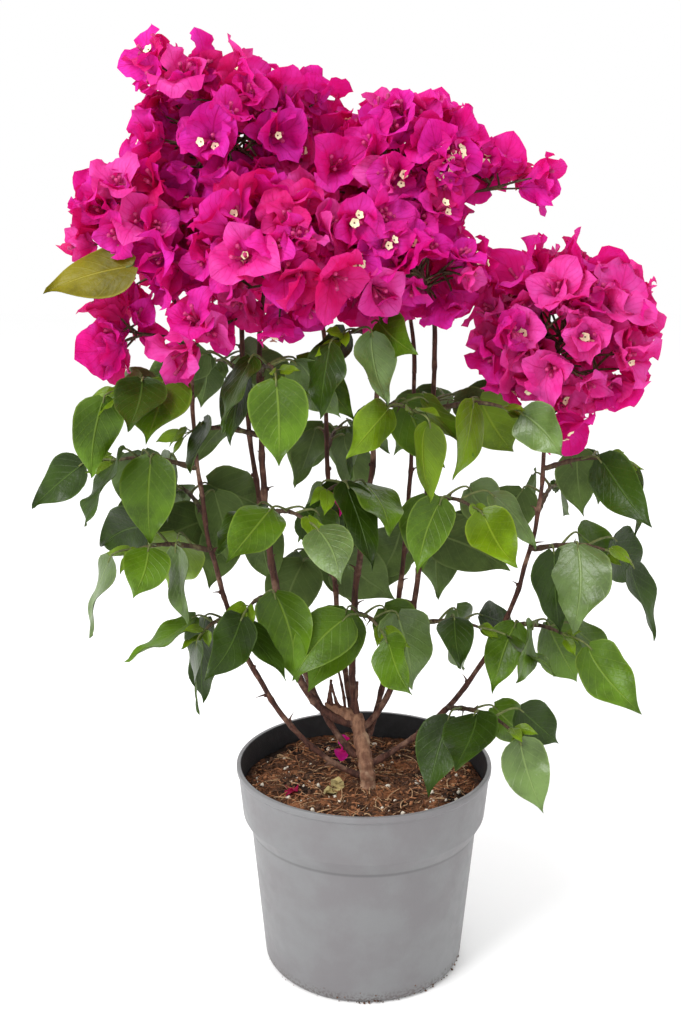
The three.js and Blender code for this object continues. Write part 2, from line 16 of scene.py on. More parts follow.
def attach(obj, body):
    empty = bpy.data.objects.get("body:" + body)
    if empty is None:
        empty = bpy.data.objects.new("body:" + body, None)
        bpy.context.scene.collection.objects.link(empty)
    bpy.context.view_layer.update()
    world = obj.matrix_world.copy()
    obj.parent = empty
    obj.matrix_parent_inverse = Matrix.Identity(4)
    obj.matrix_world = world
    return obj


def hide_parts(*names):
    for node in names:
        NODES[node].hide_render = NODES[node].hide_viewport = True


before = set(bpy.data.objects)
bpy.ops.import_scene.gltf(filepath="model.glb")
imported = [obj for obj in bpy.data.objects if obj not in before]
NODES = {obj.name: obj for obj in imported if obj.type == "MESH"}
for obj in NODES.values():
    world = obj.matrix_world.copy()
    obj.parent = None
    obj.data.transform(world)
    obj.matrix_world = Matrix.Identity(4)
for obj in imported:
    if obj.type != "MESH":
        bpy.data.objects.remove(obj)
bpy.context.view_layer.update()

UP = Vector((0, 0, 1))
TURN = 2 * pi
GOLDEN_TURN = pi * (3 - sqrt(5))

# ---- Sizes that the part's source gives ----

POT = {
    "height": 140,
    "rim_radius": 85,
    "lip_drop": 4,
    "lip_depth": 1.2,
    "collar_foot": (81, 106),
    "shoulder": (75.5, 96),
    "base_radius": 67,
    "base_edge": 3,
    "wall": 1.8,
    "floor": 2.2,
    "drain_holes": 8,
    "drain_radius": 4,
    "drain_ring": 50,
    "foot_ring": (8, 1.5, 1),
}
SOIL_LEVEL = 125
SEAT = 0.3
TRIES = 6
NEXT_TRY = 7919  # between the seeds of one throw's tries
TRUNK = {
    "foot": (2.6, -15.7, SOIL_LEVEL + SEAT),
    "top": (-5, -3, 172),
    "foot_radius": 6.6,
    "flare_share": 0.16,
    "radius": 4.6,
    "top_radius": 3.8,
}
# `at` is where on the trunk a bough leaves it, and `tip` is the height of its end.
Bough = namedtuple("Bough", "at heading lift pull spread tip radii")
BOUGHS = {
    "bough_far_left": Bough(0.22, 180, 22, 64, 103, 398, (2.1, 1.5)),
    "bough_far_right": Bough(0.36, 4, 28, 64, 106, 356, (2.1, 1.5)),
    "bough_centre": Bough(1, 20, 0, 78, 14, 432, (2.7, 1.7)),
    "bough_inner_left": Bough(0.93, 186, 14, 48, 56, 414, (2.9, 1.9)),
    "bough_inner_right": Bough(0.86, 8, 35, 32, 42, 420, (2.3, 1.6)),
    "bough_back_left": Bough(0.5, 150, 34, 52, 86, 468, (2.4, 1.6)),
    "bough_back": Bough(0.62, 112, 45, 37, 62, 408, (2.2, 1.5)),
    "bough_back_right": Bough(0.7, 62, 42, 40, 66, 396, (2.2, 1.5)),
}
# A sprig says where it ends, at what share of the head's stem it starts, and its clusters.
Head = namedtuple("Head", "bough centre radii clusters sprigs", defaults=[()])
HEADS = {
    "blossom_front": Head(
        "bough_inner_left", (-55, -44, 468), (52, 42, 46), 31, [((-101, -46, 420), 0.3, 2)]
    ),
    "blossom_left": Head("bough_far_left", (-139, -8, 484), (36, 40, 42), 23, [((-148, -24, 420), 0.2, 2)]),
    "blossom_top_left": Head("bough_back_left", (-86, 8, 543), (55, 48, 46), 32, [((-122, -2, 580), 0.9, 3)]),
    "blossom_top_right": Head("bough_centre", (24, -4, 525), (48, 46, 38), 28, [((92, -8, 510), 0.6, 2)]),
    "blossom_inner_right": Head("bough_inner_right", (32, -22, 462), (40, 38, 30), 18),
    "blossom_right": Head("bough_far_right", (121, -2, 424), (58, 48, 56), 34, [((117, -16, 374), 0.1, 1)]),
    "blossom_back_left": Head("bough_back", (-60, 70, 476), (52, 38, 44), 20),
    "blossom_back_right": Head("bough_back_right", (20, 58, 466), (48, 38, 44), 18),
}
Spray = namedtuple("Spray", "bough height heading reach leaves")
# The sprays of each bough: place, height, compass heading, reach and leaves.
SPRAYS_ON = {
    "far_left": (
        ("top", 388, 214, 44, 6),
        ("upper", 342, 184, 46, 5),
        ("middle", 290, 205, 44, 5),
        ("low", 244, 250, 34, 4),
        ("back", 312, 128, 50, 5),
    ),
    "inner_left": (
        ("top", 402, 285, 40, 5),
        ("upper", 362, 232, 42, 5),
        ("middle", 312, 300, 48, 5),
        ("low", 258, 250, 38, 4),
    ),
    "centre": (
        ("top", 420, 245, 48, 5),
        ("upper", 376, 292, 50, 6),
        ("middle", 326, 236, 44, 5),
        ("low", 240, 288, 46, 5),
    ),
    "inner_right": (("upper", 376, 325, 46, 5), ("middle", 318, 300, 44, 5), ("low", 236, 318, 44, 5)),
    "far_right": (
        ("top", 340, 350, 38, 5),
        ("middle", 288, 330, 46, 5),
        ("low", 238, 312, 44, 5),
        ("foot", 182, 302, 60, 5),
        ("back", 312, 55, 50, 5),
    ),
    "back_left": (("upper", 392, 115, 50, 6), ("low", 286, 135, 48, 5)),
    "back": (("upper", 342, 80, 48, 6), ("low", 256, 108, 46, 5)),
    "back_right": (("upper", 366, 48, 50, 6), ("low", 272, 66, 46, 5)),
}
SPRAYS = {}
for side_name, places in SPRAYS_ON.items():
    for place_name, *sizes in places:
        SPRAYS[f"leaves_{side_name}_{place_name}"] = Spray(f"bough_{side_name}", *sizes)
LEAF = {
    "length": (52, 72),
    "width_share": 0.6,
    "outline": ((0.12, 0.7), (0.42, 1), (0.76, 0.5)),
    "arch": 0.16,
    "droop": (18, 76),
    "roll": (-40, 40),
    "petiole": (13, 24),
}
BRACT = {
    "length": (30, 37),
    "width_share": 0.84,
    "outline": ((0.55, 0.96), (0.92, 0.46)),
    "cup": 0.1,
    "flare": (38, 60),
    "smallest": 0.62,
}
SHOOT_RADIUS = 2
CROWN_HALF_WIDTH = 190
CROWN_RIDGE = 6

# ---- Sizes that only this script uses ----

# Half width of a leaf or bract at shares of its length.
LEAF_OUTLINE = (
    (0, 0.18), (0.03, 0.52), (0.08, 0.77), (0.16, 0.93), (0.28, 1), (0.42, 0.96), (0.54, 0.86), (0.65, 0.7),
    (0.74, 0.5), (0.81, 0.32), (0.87, 0.18), (0.93, 0.08), (1, 0.0),
)
BRACT_OUTLINE = (
    (0, 0.16), (0.08, 0.46), (0.2, 0.78), (0.34, 0.97), (0.48, 1), (0.62, 0.92), (0.75, 0.74), (0.86, 0.48),
    (0.94, 0.24), (1, 0.0),
)
TUBE_BULGE = ((0, 0.75), (0.25, 1.2), (0.55, 0.85), (0.85, 1.05), (1, 1.35))  # radii of a flower's tube
REACH_SLACK = 2.6  # how far a throw may lie from its solid: a limb's foot is inset by up to about this
HELD_SHARE = 0.6  # how much of a throw its solid must hold
NEAR_TIP = 0.985  # where the wood starts that goes on past a limb's tip
STREWN = {"crumbs": 1500, "perlite": 130, "fibres": 1300, "on_foot": 170}
# Neighbouring heads, and how many clusters on finer twigs fill the room between them.
LINKS = (
    ("top_left", "left", 11),
    ("top_left", "front", 14),
    ("left", "front", 12),
    ("front", "inner_right", 11),
    ("top_left", "top_right", 14),
    ("top_right", "inner_right", 10),
    ("front", "top_right", 10),
    ("back_left", "top_left", 9),
    ("back_left", "left", 8),
    ("back_right", "top_right", 7),
    ("back_left", "back_right", 7),
    ("inner_right", "right", 9),
)
CROWD_CORE = Vector((-50, 10, 478))  # the middle of the crowd of heads on the left
# Names to pick from, each with its upper limit from 0 to 1.
LEAF_TONES = ((0.4, "leaf_mid"), (0.76, "leaf_deep"), (0.91, "leaf_grey"), (1, "leaf_bright"))
BRACT_TONES = ((0.46, "bract_magenta"), (0.56, "bract_rose"), (0.86, "bract_purple"), (1, "bract_pink"))
PINK_HEAD = "blossom_right"
PINK_TONES = ((0.7, "bract_pink"), (1, "bract_magenta"))
EXTRA_SEED = 50021  # between a cluster's seed and those of the smaller ones by it
CRUMBS = ((0.5, "peat"), (0.8, "fibre_dark"), (1, "fibre_red"))
FIBRES = ((0.4, "fibre_dark"), (0.78, "fibre_red"), (1, "fibre_pale"))
DIRT = ((0.6, "peat"), (1, "fibre_dark"))

# ---- Dice, numbers and directions ----


def lerp(low, high, share):
    return low + (high - low) * share


def dice(seed):
    """Repeatable random numbers, from 0 to 1 or between two numbers: mulberry32."""
    mask = 0xFFFFFFFF
    state = seed & mask

    def roll(low=0, high=1):
        nonlocal state
        state = (state + 0x6D2B79F5) & mask
        mixed = ((state ^ (state >> 15)) * (state | 1)) & mask
        mixed ^= (mixed + (mixed ^ (mixed >> 7)) * (mixed | 61)) & mask
        return lerp(low, high, (mixed ^ (mixed >> 14)) / 4294967296)

    return roll


def seed_of(name):
    """A seed that depends only on a name."""
    total = 7
    for letter in name:
        total = (total * 31 + ord(letter)) & 0xFFFFFFFF
    return total


def pick(roll, choices):
    share = roll()
    return next(name for limit, name in choices if share < limit)


def clamp(value, low=0.0, high=1.0):
    return max(low, min(high, value))


def along_table(table, share):
    """The second number of a table of pairs, between its rows, at a share."""
    for (a, low), (b, high) in zip(table, table[1:]):
        if share <= b:
            return lerp(low, high, (share - a) / (b - a))
    return table[-1][1]


def times(vector, radii):
    return Vector([part * radius for part, radius in zip(vector, radii)])


def over(vector, radii):
    return Vector([part / radius for part, radius in zip(vector, radii)])


def level_way(turn):
    """The level direction at a turn from +X, in radians."""
    return Vector((cos(turn), sin(turn), 0))


def compass(degrees):
    return level_way(radians(degrees))


def swung(first, second, turn):
    """A direction that has turned from one towards another, square to it."""
    return first * cos(turn) + second * sin(turn)


def turned_about(vector, axis, turn):
    return Quaternion(axis, turn) @ vector


def squared(vector, axis):
    """The part of a vector that is square to an axis, made 1 long."""
    return (vector - axis * vector.dot(axis)).normalized()


def square_to(axis, turn=0):
    """A direction square to an axis, at a turn about it."""
    other = Vector((1, 0, 0)) if abs(axis.x) < 0.8 else Vector((0, 1, 0))
    return turned_about(axis.cross(other).normalized(), axis, turn)


class Curve:
    """A Bezier curve that is walked by shares of its length."""

    STEPS = 200

    def __init__(self, *corners):
        self.corners = [Vector(corner) for corner in corners]
        marks = [self.at(i / self.STEPS) for i in range(self.STEPS + 1)]
        self.lengths = [0.0]
        for a, b in zip(marks, marks[1:]):
            self.lengths.append(self.lengths[-1] + (b - a).length)

    def at(self, t):
        row = self.corners
        while len(row) > 1:
            row = [a.lerp(b, t) for a, b in zip(row, row[1:])]
        return row[0]

    def parameter(self, share):
        target = share * self.lengths[-1]
        low = bisect(self.lengths, target, 0, self.STEPS) - 1
        step = self.lengths[low + 1] - self.lengths[low]
        return (low + clamp((target - self.lengths[low]) / step)) / self.STEPS

    def point(self, share):
        return self.at(self.parameter(share))

    def tangent(self, share):
        t = self.parameter(share)
        return (self.at(min(1, t + 1e-4)) - self.at(max(0, t - 1e-4))).normalized()

    def points(self, count):
        return [self.point(i / count) for i in range(count + 1)]


def arc(start, end, rise, share=0.5):
    """A curve between two points that arches up over a share of its way."""
    return Curve(start, start.lerp(end, share) + UP * rise, end)


# ---- Meshes ----


def new_object(name, data):
    made = bpy.data.objects.new(name, data)
    bpy.context.scene.collection.objects.link(made)
    return made


class Skin:
    """Faces of one finish, gathered before they become one mesh."""

    def __init__(self):
        self.points = []
        self.places = []
        self.faces = []

    def add(self, point, place=(0, 0)):
        self.points.append(point)
        self.places.append(place)
        return len(self.points) - 1

    def ring(self, sides, spot_at):
        """A row of corners, one for each turn."""
        return [self.add(spot_at(TURN * k / sides)) for k in range(sides)]

    def circle(self, radius, height, sides):
        """A level ring round the Z axis, or its middle where it has no radius."""
        if radius < 1e-6:
            return [self.add(UP * height)] * sides
        return self.ring(sides, lambda turn: level_way(turn) * radius + UP * height)

    def rows(self, rows, wrap=True):
        """Quads between rows of corner numbers."""
        for low, high in zip(rows, rows[1:]):
            count = len(low)
            for i in range(count if wrap else count - 1):
                j = (i + 1) % count
                quad = [low[i], low[j], high[j], high[i]]
                slim = [c for k, c in enumerate(quad) if c != quad[k - 1]]
                if len(slim) > 2:
                    self.faces.append(slim)

    def tube(self, path, radii, sides=6, relief=None):
        """A closed limb along a path, with two end radii or a rule for them; its frame turns with it."""
        radius_at = radii if callable(radii) else lambda share: lerp(*radii, share)
        spoke = square_to(path[1] - path[0])
        last = len(path) - 1
        rows = []
        for i, centre in enumerate(path):
            heading = (path[min(i + 1, last)] - path[max(i - 1, 0)]).normalized()
            spoke = squared(spoke, heading)
            other = heading.cross(spoke)

            def spot_at(turn):
                out = swung(spoke, other, turn)
                radius = radius_at(i / last)
                if relief:
                    radius *= relief(i / last, turn, centre + out * radius)
                return centre + out * radius

            rows.append(self.ring(sides, spot_at))
        tip = path[-1] + (path[-1] - path[-2]).normalized() * radius_at(1) * 0.5
        self.rows([[self.add(path[0])] * sides, *rows, [self.add(tip)] * sides])

    def lump(self, centre, radii, turn, rings=4, sides=7, rough=0.0, seed=0.0):
        """A closed uneven lump."""
        offset = Vector((seed, seed * 0.7, -seed))
        rows = [[self.add(centre + turn @ UP * radii[2])] * sides]
        for ring in range(1, rings):
            polar = pi * ring / rings

            def spot_at(angle):
                unit = swung(UP, level_way(angle), polar)
                bump = 1 + rough * noise.noise(unit * 1.7 + offset)
                return centre + turn @ times(unit, radii) * bump

            rows.append(self.ring(sides, spot_at))
        rows.append([self.add(centre - turn @ UP * radii[2])] * sides)
        self.rows(rows[::-1])

    def blade(self, rows, half, section, is_lower=False):
        """A leaf or bract; section gives the spots across it at a share of its length, from the foot on."""
        grid = []
        for i in range(rows + 1):
            share = i / rows
            spot_at = section(share)
            shares = [k / half for k in range(-half, half + 1)]
            row = [self.add(spot_at(u), (0.5 + u / 2, share)) for u in shares]
            if i == rows:
                row = [row[half]] * len(row)
            grid.append(row[::-1] if is_lower else row)
        self.rows(grid, wrap=False)

    def build(self, name, material):
        """The mesh object, in metres."""
        mesh = bpy.data.meshes.new(name)
        mesh.from_pydata([point * 0.001 for point in self.points], [], self.faces)
        layer = mesh.uv_layers.new(name="place")
        for loop in mesh.loops:
            layer.data[loop.index].uv = self.places[loop.vertex_index]
        mesh.materials.append(material)
        mesh.polygons.foreach_set("use_smooth", [True] * len(mesh.polygons))
        mesh.update()
        return new_object(name, mesh)


def place_piece(piece, slot, *nodes):
    """The piece rides with the plant and stands for some nodes."""
    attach(piece, "root")
    if nodes:
        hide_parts(*nodes)


# ---- Finishes ----

MATERIALS = {}


class Finish:
    """A material whose coats are laid one by one over a colour."""

    def __init__(self, name, colour, roughness, gloss):
        self.material = bpy.data.materials.new(name)
        self.material.use_nodes = True
        self.nodes = self.material.node_tree.nodes
        self.shader = self.nodes["Principled BSDF"]
        self.put(self.shader, {"Roughness": roughness, "Specular IOR Level": gloss})
        self.look = colour
        MATERIALS[name] = self.material

    def put(self, node, inputs):
        """Sets inputs of a node, each to an output of another, a number or a colour."""
        for key, value in inputs.items():
            socket = node.inputs[key]
            if isinstance(value, bpy.types.NodeSocket):
                self.material.node_tree.links.new(value, socket)
            else:
                socket.default_value = (*value, 1) if socket.type == "RGBA" else value

    def node(self, kind, output, inputs, **settings):
        """Adds a node and gives one of its outputs."""
        node = self.nodes.new("ShaderNode" + kind)
        for key, value in settings.items():
            setattr(node, key, value)
        self.put(node, inputs)
        return node.outputs[output]

    def place(self, axis, kind="Object"):
        """A coordinate over the object in metres, or over a blade from 0 to 1."""
        return self.node("SeparateXYZ", axis, {"Vector": self.node("TexCoord", kind, {})})

    def noise(self, scale, detail, rough=0.55, stretch=None):
        """A noise from 0 to 1 over the object; scale is in patches per metre."""
        spots = self.node("TexCoord", "Object", {})
        if stretch:
            spots = self.node("Mapping", "Vector", {"Vector": spots, "Scale": stretch})
        inputs = {"Vector": spots, "Scale": scale, "Detail": detail, "Roughness": rough}
        return self.node("TexNoise", "Fac", inputs)

    def steps(self, source, low, high, to_low=0, to_high=1):
        """A smooth step of a value between low and high."""
        inputs = {"Value": source, "From Min": low, "From Max": high, "To Min": to_low, "To Max": to_high}
        return self.node("MapRange", "Result", inputs, interpolation_type="SMOOTHSTEP")

    def patches(self, scale, detail, low, high, most=1):
        """Soft-edged patches of a noise."""
        return self.steps(self.noise(scale, detail), low, high, 0, most)

    def maths(self, operation, first, second=0):
        return self.node("Math", 0, {0: first, 1: second}, operation=operation)

    def off(self, value, middle):
        """How far a value is from a middle one."""
        return self.maths("ABSOLUTE", self.maths("SUBTRACT", value, middle))

    def ribs(self, slope, pairs, thin, wide, share):
        """Over a blade: how far off its midrib, how far along, and its ribs."""
        across = self.off(self.place("X", "UV"), 0.5)
        along = self.place("Y", "UV")
        reach = self.maths("SUBTRACT", along, self.maths("MULTIPLY", across, slope))
        saw = self.maths("FRACT", self.maths("MULTIPLY", reach, pairs))
        midrib = self.steps(across, thin, 0.03, 1, 0)
        veins = self.steps(self.off(saw, 0.5), 0.02, wide, share, 0)
        return across, along, self.maths("MAXIMUM", midrib, veins)

    def coat(self, colour, share):
        """Lays a colour over the finish, by a share from 0 to 1."""
        self.look = self.node("Mix", 2, {"Factor": share, 6: self.look, 7: colour}, data_type="RGBA")
        self.put(self.shader, {"Base Color": self.look})

    def bump(self, source, depth, strength):
        """Relief of a depth in metres."""
        inputs = {"Height": source, "Distance": depth, "Strength": strength}
        self.put(self.shader, {"Normal": self.node("Bump", "Normal", inputs)})

    def glow_through(self, colour, share):
        """Some of the light on the far side shows through."""
        glow = self.node("BsdfTranslucent", "BSDF", {"Color": colour})
        blend = self.node("MixShader", "Shader", {"Fac": share, 1: self.shader.outputs["BSDF"], 2: glow})
        self.put(self.nodes["Material Output"], {"Surface": blend})


def toned(colour, share):
    """A colour made darker, or lighter where the share is above 1."""
    return tuple(channel * share for channel in colour)


def leaf_finish(name, colour, rib, roughness=0.36, glow=0.1, gloss=0.24):
    """Green with a paler midrib, side veins and rim, painted shade darker towards the foot, and mottled."""
    finish = Finish(name, toned(colour, 0.62), roughness, gloss)
    across, along, ribs = finish.ribs(0.75, 7, 0.008, 0.09, 0.26)
    finish.coat(toned(colour, 1.28), finish.patches(42, 3, 0.36, 0.66))
    finish.coat(toned(colour, 1.5), finish.patches(700, 3, 0.4, 0.75, 0.3))
    # Painted shade: the blade grows darker towards its foot.
    finish.coat(toned(colour, 0.5), finish.steps(along, 0, 0.8, 0.6, 0))
    rim = finish.steps(across, 0.45, 0.5, 0, 0.5)
    finish.coat(rib, finish.maths("MAXIMUM", finish.maths("MULTIPLY", ribs, 0.5), rim))
    puckers = finish.maths("ADD", finish.maths("MULTIPLY", ribs, -0.7), finish.noise(260, 3))
    finish.bump(puckers, 0.0007, 0.75)
    finish.glow_through(toned(rib, 0.8), glow)


def bract_finish(name, colour, shade, light):
    """Papery, with a net of fine veins from the base."""
    finish = Finish(name, colour, 0.6, 0.12)
    _, along, veins = finish.ribs(1.1, 6, 0.006, 0.1, 0.6)
    finish.coat(light, finish.patches(60, 3, 0.35, 0.68))
    finish.coat(light, finish.steps(along, 0.5, 1, 0, 0.35))
    finish.coat(shade, finish.maths("MULTIPLY", veins, 0.45))
    crumple = finish.maths("ADD", finish.maths("MULTIPLY", veins, 0.6), finish.noise(420, 4))
    finish.bump(crumple, 0.0006, 0.7)
    finish.glow_through((0.8, 0.006, 0.15), 0.36)


def bark_finish(name, colour, pale, dark, scale=1):
    """Lightly fissured bark with paler pores."""
    finish = Finish(name, dark, 0.78, 0.3)
    streaks = finish.noise(420 * scale, 5, 0.6, (1, 1, 0.22))
    finish.coat(colour, finish.steps(streaks, 0.35, 0.66))
    finish.coat(pale, finish.patches(95 * scale, 4, 0.5, 0.72))
    finish.coat(pale, finish.patches(1500, 2, 0.66, 0.74, 0.6))
    finish.bump(finish.maths("ADD", streaks, finish.noise(1300, 4)), 0.0009, 0.9)


def plain_finish(name, colour, spread, scale, roughness, depth=0.0004):
    """One colour that varies a little, with a fine relief."""
    finish = Finish(name, toned(colour, 1 - spread), roughness, 0.35)
    finish.coat(toned(colour, 1 + spread), finish.patches(scale, 4, 0.32, 0.7))
    finish.bump(finish.noise(scale * 4, 4), depth, 0.7)


def pot_finish():
    """Injection-moulded grey plastic, satin, with painted shade under its step and soil dust by the foot."""
    grey = (0.172, 0.17, 0.174)
    finish = Finish("pot_grey", (0.158, 0.151, 0.157), 0.46, 0.45)
    finish.coat((0.177, 0.178, 0.182), finish.steps(finish.noise(26, 5, 0.65), 0.36, 0.66))
    scuffs = finish.noise(240, 5, 0.7, (1, 1, 3))
    finish.coat(toned(grey, 1.35), finish.steps(scuffs, 0.62, 0.78, 0, 0.22))
    height = finish.place("Z")
    by_foot = finish.steps(height, 0.002, 0.011, 1, 0)
    dust = finish.maths("MULTIPLY", by_foot, finish.patches(620, 4, 0.48, 0.56, 0.7))
    finish.coat((0.05, 0.035, 0.025), dust)
    step = POT["shoulder"][1] * 0.001 + 0.0002
    # Painted shade: a thin dark band along the corner under the collar's step.
    finish.coat(toned(grey, 0.45), finish.steps(finish.off(height, step), 0.0003, 0.0018, 0.55, 0))
    finish.bump(finish.noise(900, 3), 0.00012, 0.5)
    finish.put(finish.shader, {"Roughness": finish.steps(finish.noise(120, 4), 0.2, 0.8, 0.4, 0.52)})


def soil_finish():
    """Moist fibrous peat, rusty in places and wet in others."""
    finish = Finish("peat", (0.018, 0.009, 0.006), 0.95, 0.2)
    crumbs = finish.noise(520, 6, 0.7)
    finish.coat((0.21, 0.085, 0.04), finish.steps(crumbs, 0.36, 0.64))
    finish.coat((0.36, 0.145, 0.065), finish.patches(58, 4, 0.46, 0.66))
    finish.coat((0.03, 0.016, 0.011), finish.patches(34, 3, 0.5, 0.6))
    finish.bump(crumbs, 0.003, 1)


leaf_finish("leaf_mid", (0.08, 0.158, 0.006), (0.2, 0.3, 0.035))
# Partly a darker leaf tone and partly painted shade: the darkest leaves stand in for the shade between leaves
# in the crown.
leaf_finish("leaf_deep", (0.023, 0.049, 0.002), (0.07, 0.125, 0.018), glow=0.04, gloss=0.2)
leaf_finish("leaf_grey", (0.115, 0.185, 0.045), (0.22, 0.31, 0.09), 0.34, gloss=0.42)
leaf_finish("leaf_bright", (0.145, 0.245, 0.005), (0.28, 0.38, 0.03), glow=0.16)
leaf_finish("leaf_olive", (0.17, 0.145, 0.006), (0.33, 0.28, 0.03), glow=0.16, gloss=0.14)
leaf_finish("leaf_under", (0.1, 0.16, 0.034), (0.2, 0.28, 0.08), roughness=0.6)
bract_finish("bract_magenta", (0.67, 0.004, 0.235), (0.5, 0.002, 0.09), (0.75, 0.035, 0.45))
bract_finish("bract_purple", (0.61, 0.003, 0.26), (0.45, 0.002, 0.11), (0.72, 0.03, 0.48))
bract_finish("bract_pink", (0.74, 0.026, 0.31), (0.6, 0.01, 0.18), (0.82, 0.095, 0.49))
bract_finish("bract_rose", (0.6, 0.004, 0.13), (0.46, 0.002, 0.05), (0.72, 0.03, 0.29))
bract_finish("bract_red", (0.36, 0.012, 0.06), (0.22, 0.008, 0.03), (0.5, 0.03, 0.12))
plain_finish("flower_cream", (0.86, 0.8, 0.52), 0.08, 500, 0.6)
plain_finish("flower_eye", (0.05, 0.035, 0.02), 0.2, 500, 0.7)
plain_finish("flower_tube", (0.46, 0.03, 0.15), 0.25, 500, 0.6)
bark_finish("bough_bark", (0.115, 0.045, 0.03), (0.25, 0.14, 0.095), (0.045, 0.018, 0.014))
bark_finish("trunk_bark", (0.36, 0.19, 0.115), (0.52, 0.35, 0.23), (0.18, 0.08, 0.05), 0.8)
bark_finish("shoot_bark", (0.1, 0.06, 0.034), (0.17, 0.16, 0.07), (0.045, 0.025, 0.016), 1.3)
plain_finish("petiole_green", (0.11, 0.13, 0.035), 0.3, 400, 0.6)
pot_finish()
plain_finish("pot_inside", (0.018, 0.018, 0.02), 0.2, 200, 0.5)
soil_finish()
plain_finish("fibre_dark", (0.1, 0.045, 0.024), 0.4, 500, 0.9)
plain_finish("fibre_red", (0.36, 0.15, 0.066), 0.35, 500, 0.9)
plain_finish("fibre_pale", (0.5, 0.31, 0.17), 0.3, 500, 0.9)
plain_finish("perlite", (0.8, 0.72, 0.6), 0.12, 900, 0.9, 0.0006)
plain_finish("dry_leaf", (0.4, 0.32, 0.14), 0.3, 150, 0.85, 0.001)

SKINS = {name: Skin() for name in MATERIALS}

# ---- What the solids hold ----


def vertex_tree(name):
    """The vertices of a node, in millimetres, for a quick search."""
    vertices = NODES[name].data.vertices
    tree = kdtree.KDTree(len(vertices))
    for i, vertex in enumerate(vertices):
        tree.insert(vertex.co * 1000, i)
    tree.balance()
    return tree


def is_held(tree, points):
    """True if most of the points lie by a vertex of the solid."""
    near = sum(tree.find(point)[2] < REACH_SLACK for point in points)
    return near >= HELD_SHARE * len(points)


def first_held(tree, seed, throw, marks):
    """The first of a throw's tries that the solid has, with its seed, in a list that may be empty."""
    for attempt in range(TRIES):
        own = seed + NEXT_TRY * attempt
        thrown = throw(dice(own), attempt)
        if is_held(tree, marks(thrown)):
            return [(own, thrown)]
    return []


# ---- Trunk and boughs ----

limbs = {}  # each limb's curve, and its radius at a share of it


def trunk_radius(share):
    flare = max(0, 1 - share / TRUNK["flare_share"]) ** 2
    straight = lerp(TRUNK["radius"], TRUNK["top_radius"], share)
    return straight + flare * (TRUNK["foot_radius"] - TRUNK["radius"])


def leave_point(carrier, at, direction, radius):
    """Where a side limb leaves its carrier."""
    curve, radius_at = limbs[carrier]
    centre = curve.point(at)
    tangent = curve.tangent(at)
    if at == 1:
        return centre + tangent * SEAT
    slant = abs(direction.dot(tangent))
    return centre + squared(direction, tangent) * (radius_at(at) + SEAT + radius * slant)


def bough_curve(bough):
    out = compass(bough.heading)
    start = limbs["trunk"][0].tangent(1) if bough.at == 1 else swung(out, UP, radians(bough.lift))
    foot = leave_point("trunk", bough.at, start, bough.radii[0])
    end = foot + out * bough.spread
    end.z = bough.tip
    return Curve(foot, foot + start * bough.pull, end + UP * (foot.z - bough.tip) * 0.55, end)


def knots(seed, spacing, length):
    """Shares of a limb's length at which it has nodes."""
    roll = dice(seed)
    shares = []
    reached = spacing * roll(0.4, 0.9)
    while reached < length - 6:
        shares.append(reached / length)
        reached += spacing * roll(0.75, 1.25)
    return shares


def bark_relief(seed, swellings, width, depth):
    """The bark's relief: ridges along the limb, lumps, and a swelling at each node."""
    offset = Vector((seed % 97, seed % 61, seed % 37))

    def relief(share, turn, point):
        ridges = noise.noise(level_way(turn) * 1.6 + UP * point.z * 0.02 + offset)
        lumps = noise.noise(point * 0.11 + offset)
        fine = noise.noise(point * 0.6 + offset)
        swell = sum(exp(-(((share - knot) / width) ** 2)) for knot in swellings)
        return 1 + depth * (0.5 * ridges + 0.7 * lumps + 0.35 * fine) + 0.26 * swell

    return relief


def add_thorn(skin, foot, direction, length):
    """A thorn that hooks down a little."""
    bend = foot + direction * length * 0.55
    tip = foot + direction * length - UP * length * 0.18
    skin.tube(Curve(foot, bend, tip).points(5), (0.8, 0.12), 5)


def grow_trunk():
    foot = Vector(TRUNK["foot"])
    top = Vector(TRUNK["top"])
    curve = Curve(foot, foot + UP * (top.z - foot.z) * 0.4, top.lerp(foot, 0.35), top)
    limbs["trunk"] = (curve, trunk_radius)
    skin = SKINS["trunk_bark"]
    relief = bark_relief(11, [bough.at for bough in BOUGHS.values() if bough.at < 1], 0.05, 0.2)
    path = [foot - UP * 2.5, *curve.points(56), top + curve.tangent(1) * 1.2]
    skin.tube(path, lambda share: trunk_radius(share) * 1.02, 18, relief)
    grow_fork(skin, top)


def grow_fork(skin, top):
    """The knobbly fork: a pruned stub to the left, old cut faces and a few dead twigs."""
    roll = dice(401)
    stub = Curve(top + Vector((1, 0, -4)), top + Vector((-9, 0, 3)), top + Vector((-20, 2, 5)))
    skin.tube(stub.points(26), (4.3, 3.3), 14, bark_relief(23, [0.35, 0.7, 1.0], 0.09, 0.34))
    for index in range(9):
        spot = stub.point(lerp(0.05, 1.0, index / 8))
        out = Vector((roll(-0.4, 0.4), roll(-1, 0.7), roll(-0.2, 1))).normalized()
        size = roll(1.7, 3.0)
        radii = (size, size * 0.8, size * 0.75)
        skin.lump(spot + out * 2.4, radii, out.to_track_quat("Z", "Y"), 7, 10, 0.5, index * 3.1)
    for index in range(7):
        foot = stub.point(lerp(0.15, 0.95, index / 6)) + UP * 2
        height = roll(12, 30)
        lean = Vector((roll(-0.45, 0.3), roll(-0.35, 0.5), 1)).normalized()
        tip = foot + lean * height
        middle = foot.lerp(tip, 0.5) + Vector((roll(-2, 2), roll(-2, 2), 0))
        radius = roll(0.75, 1.15)
        bumps = bark_relief(31 + index, [0.3, 0.62, 0.98], 0.05, 0.3)
        twig = Curve(foot, middle, tip)
        SKINS["bough_bark"].tube(twig.points(16), (radius * 1.1, radius * 0.8), 7, bumps)


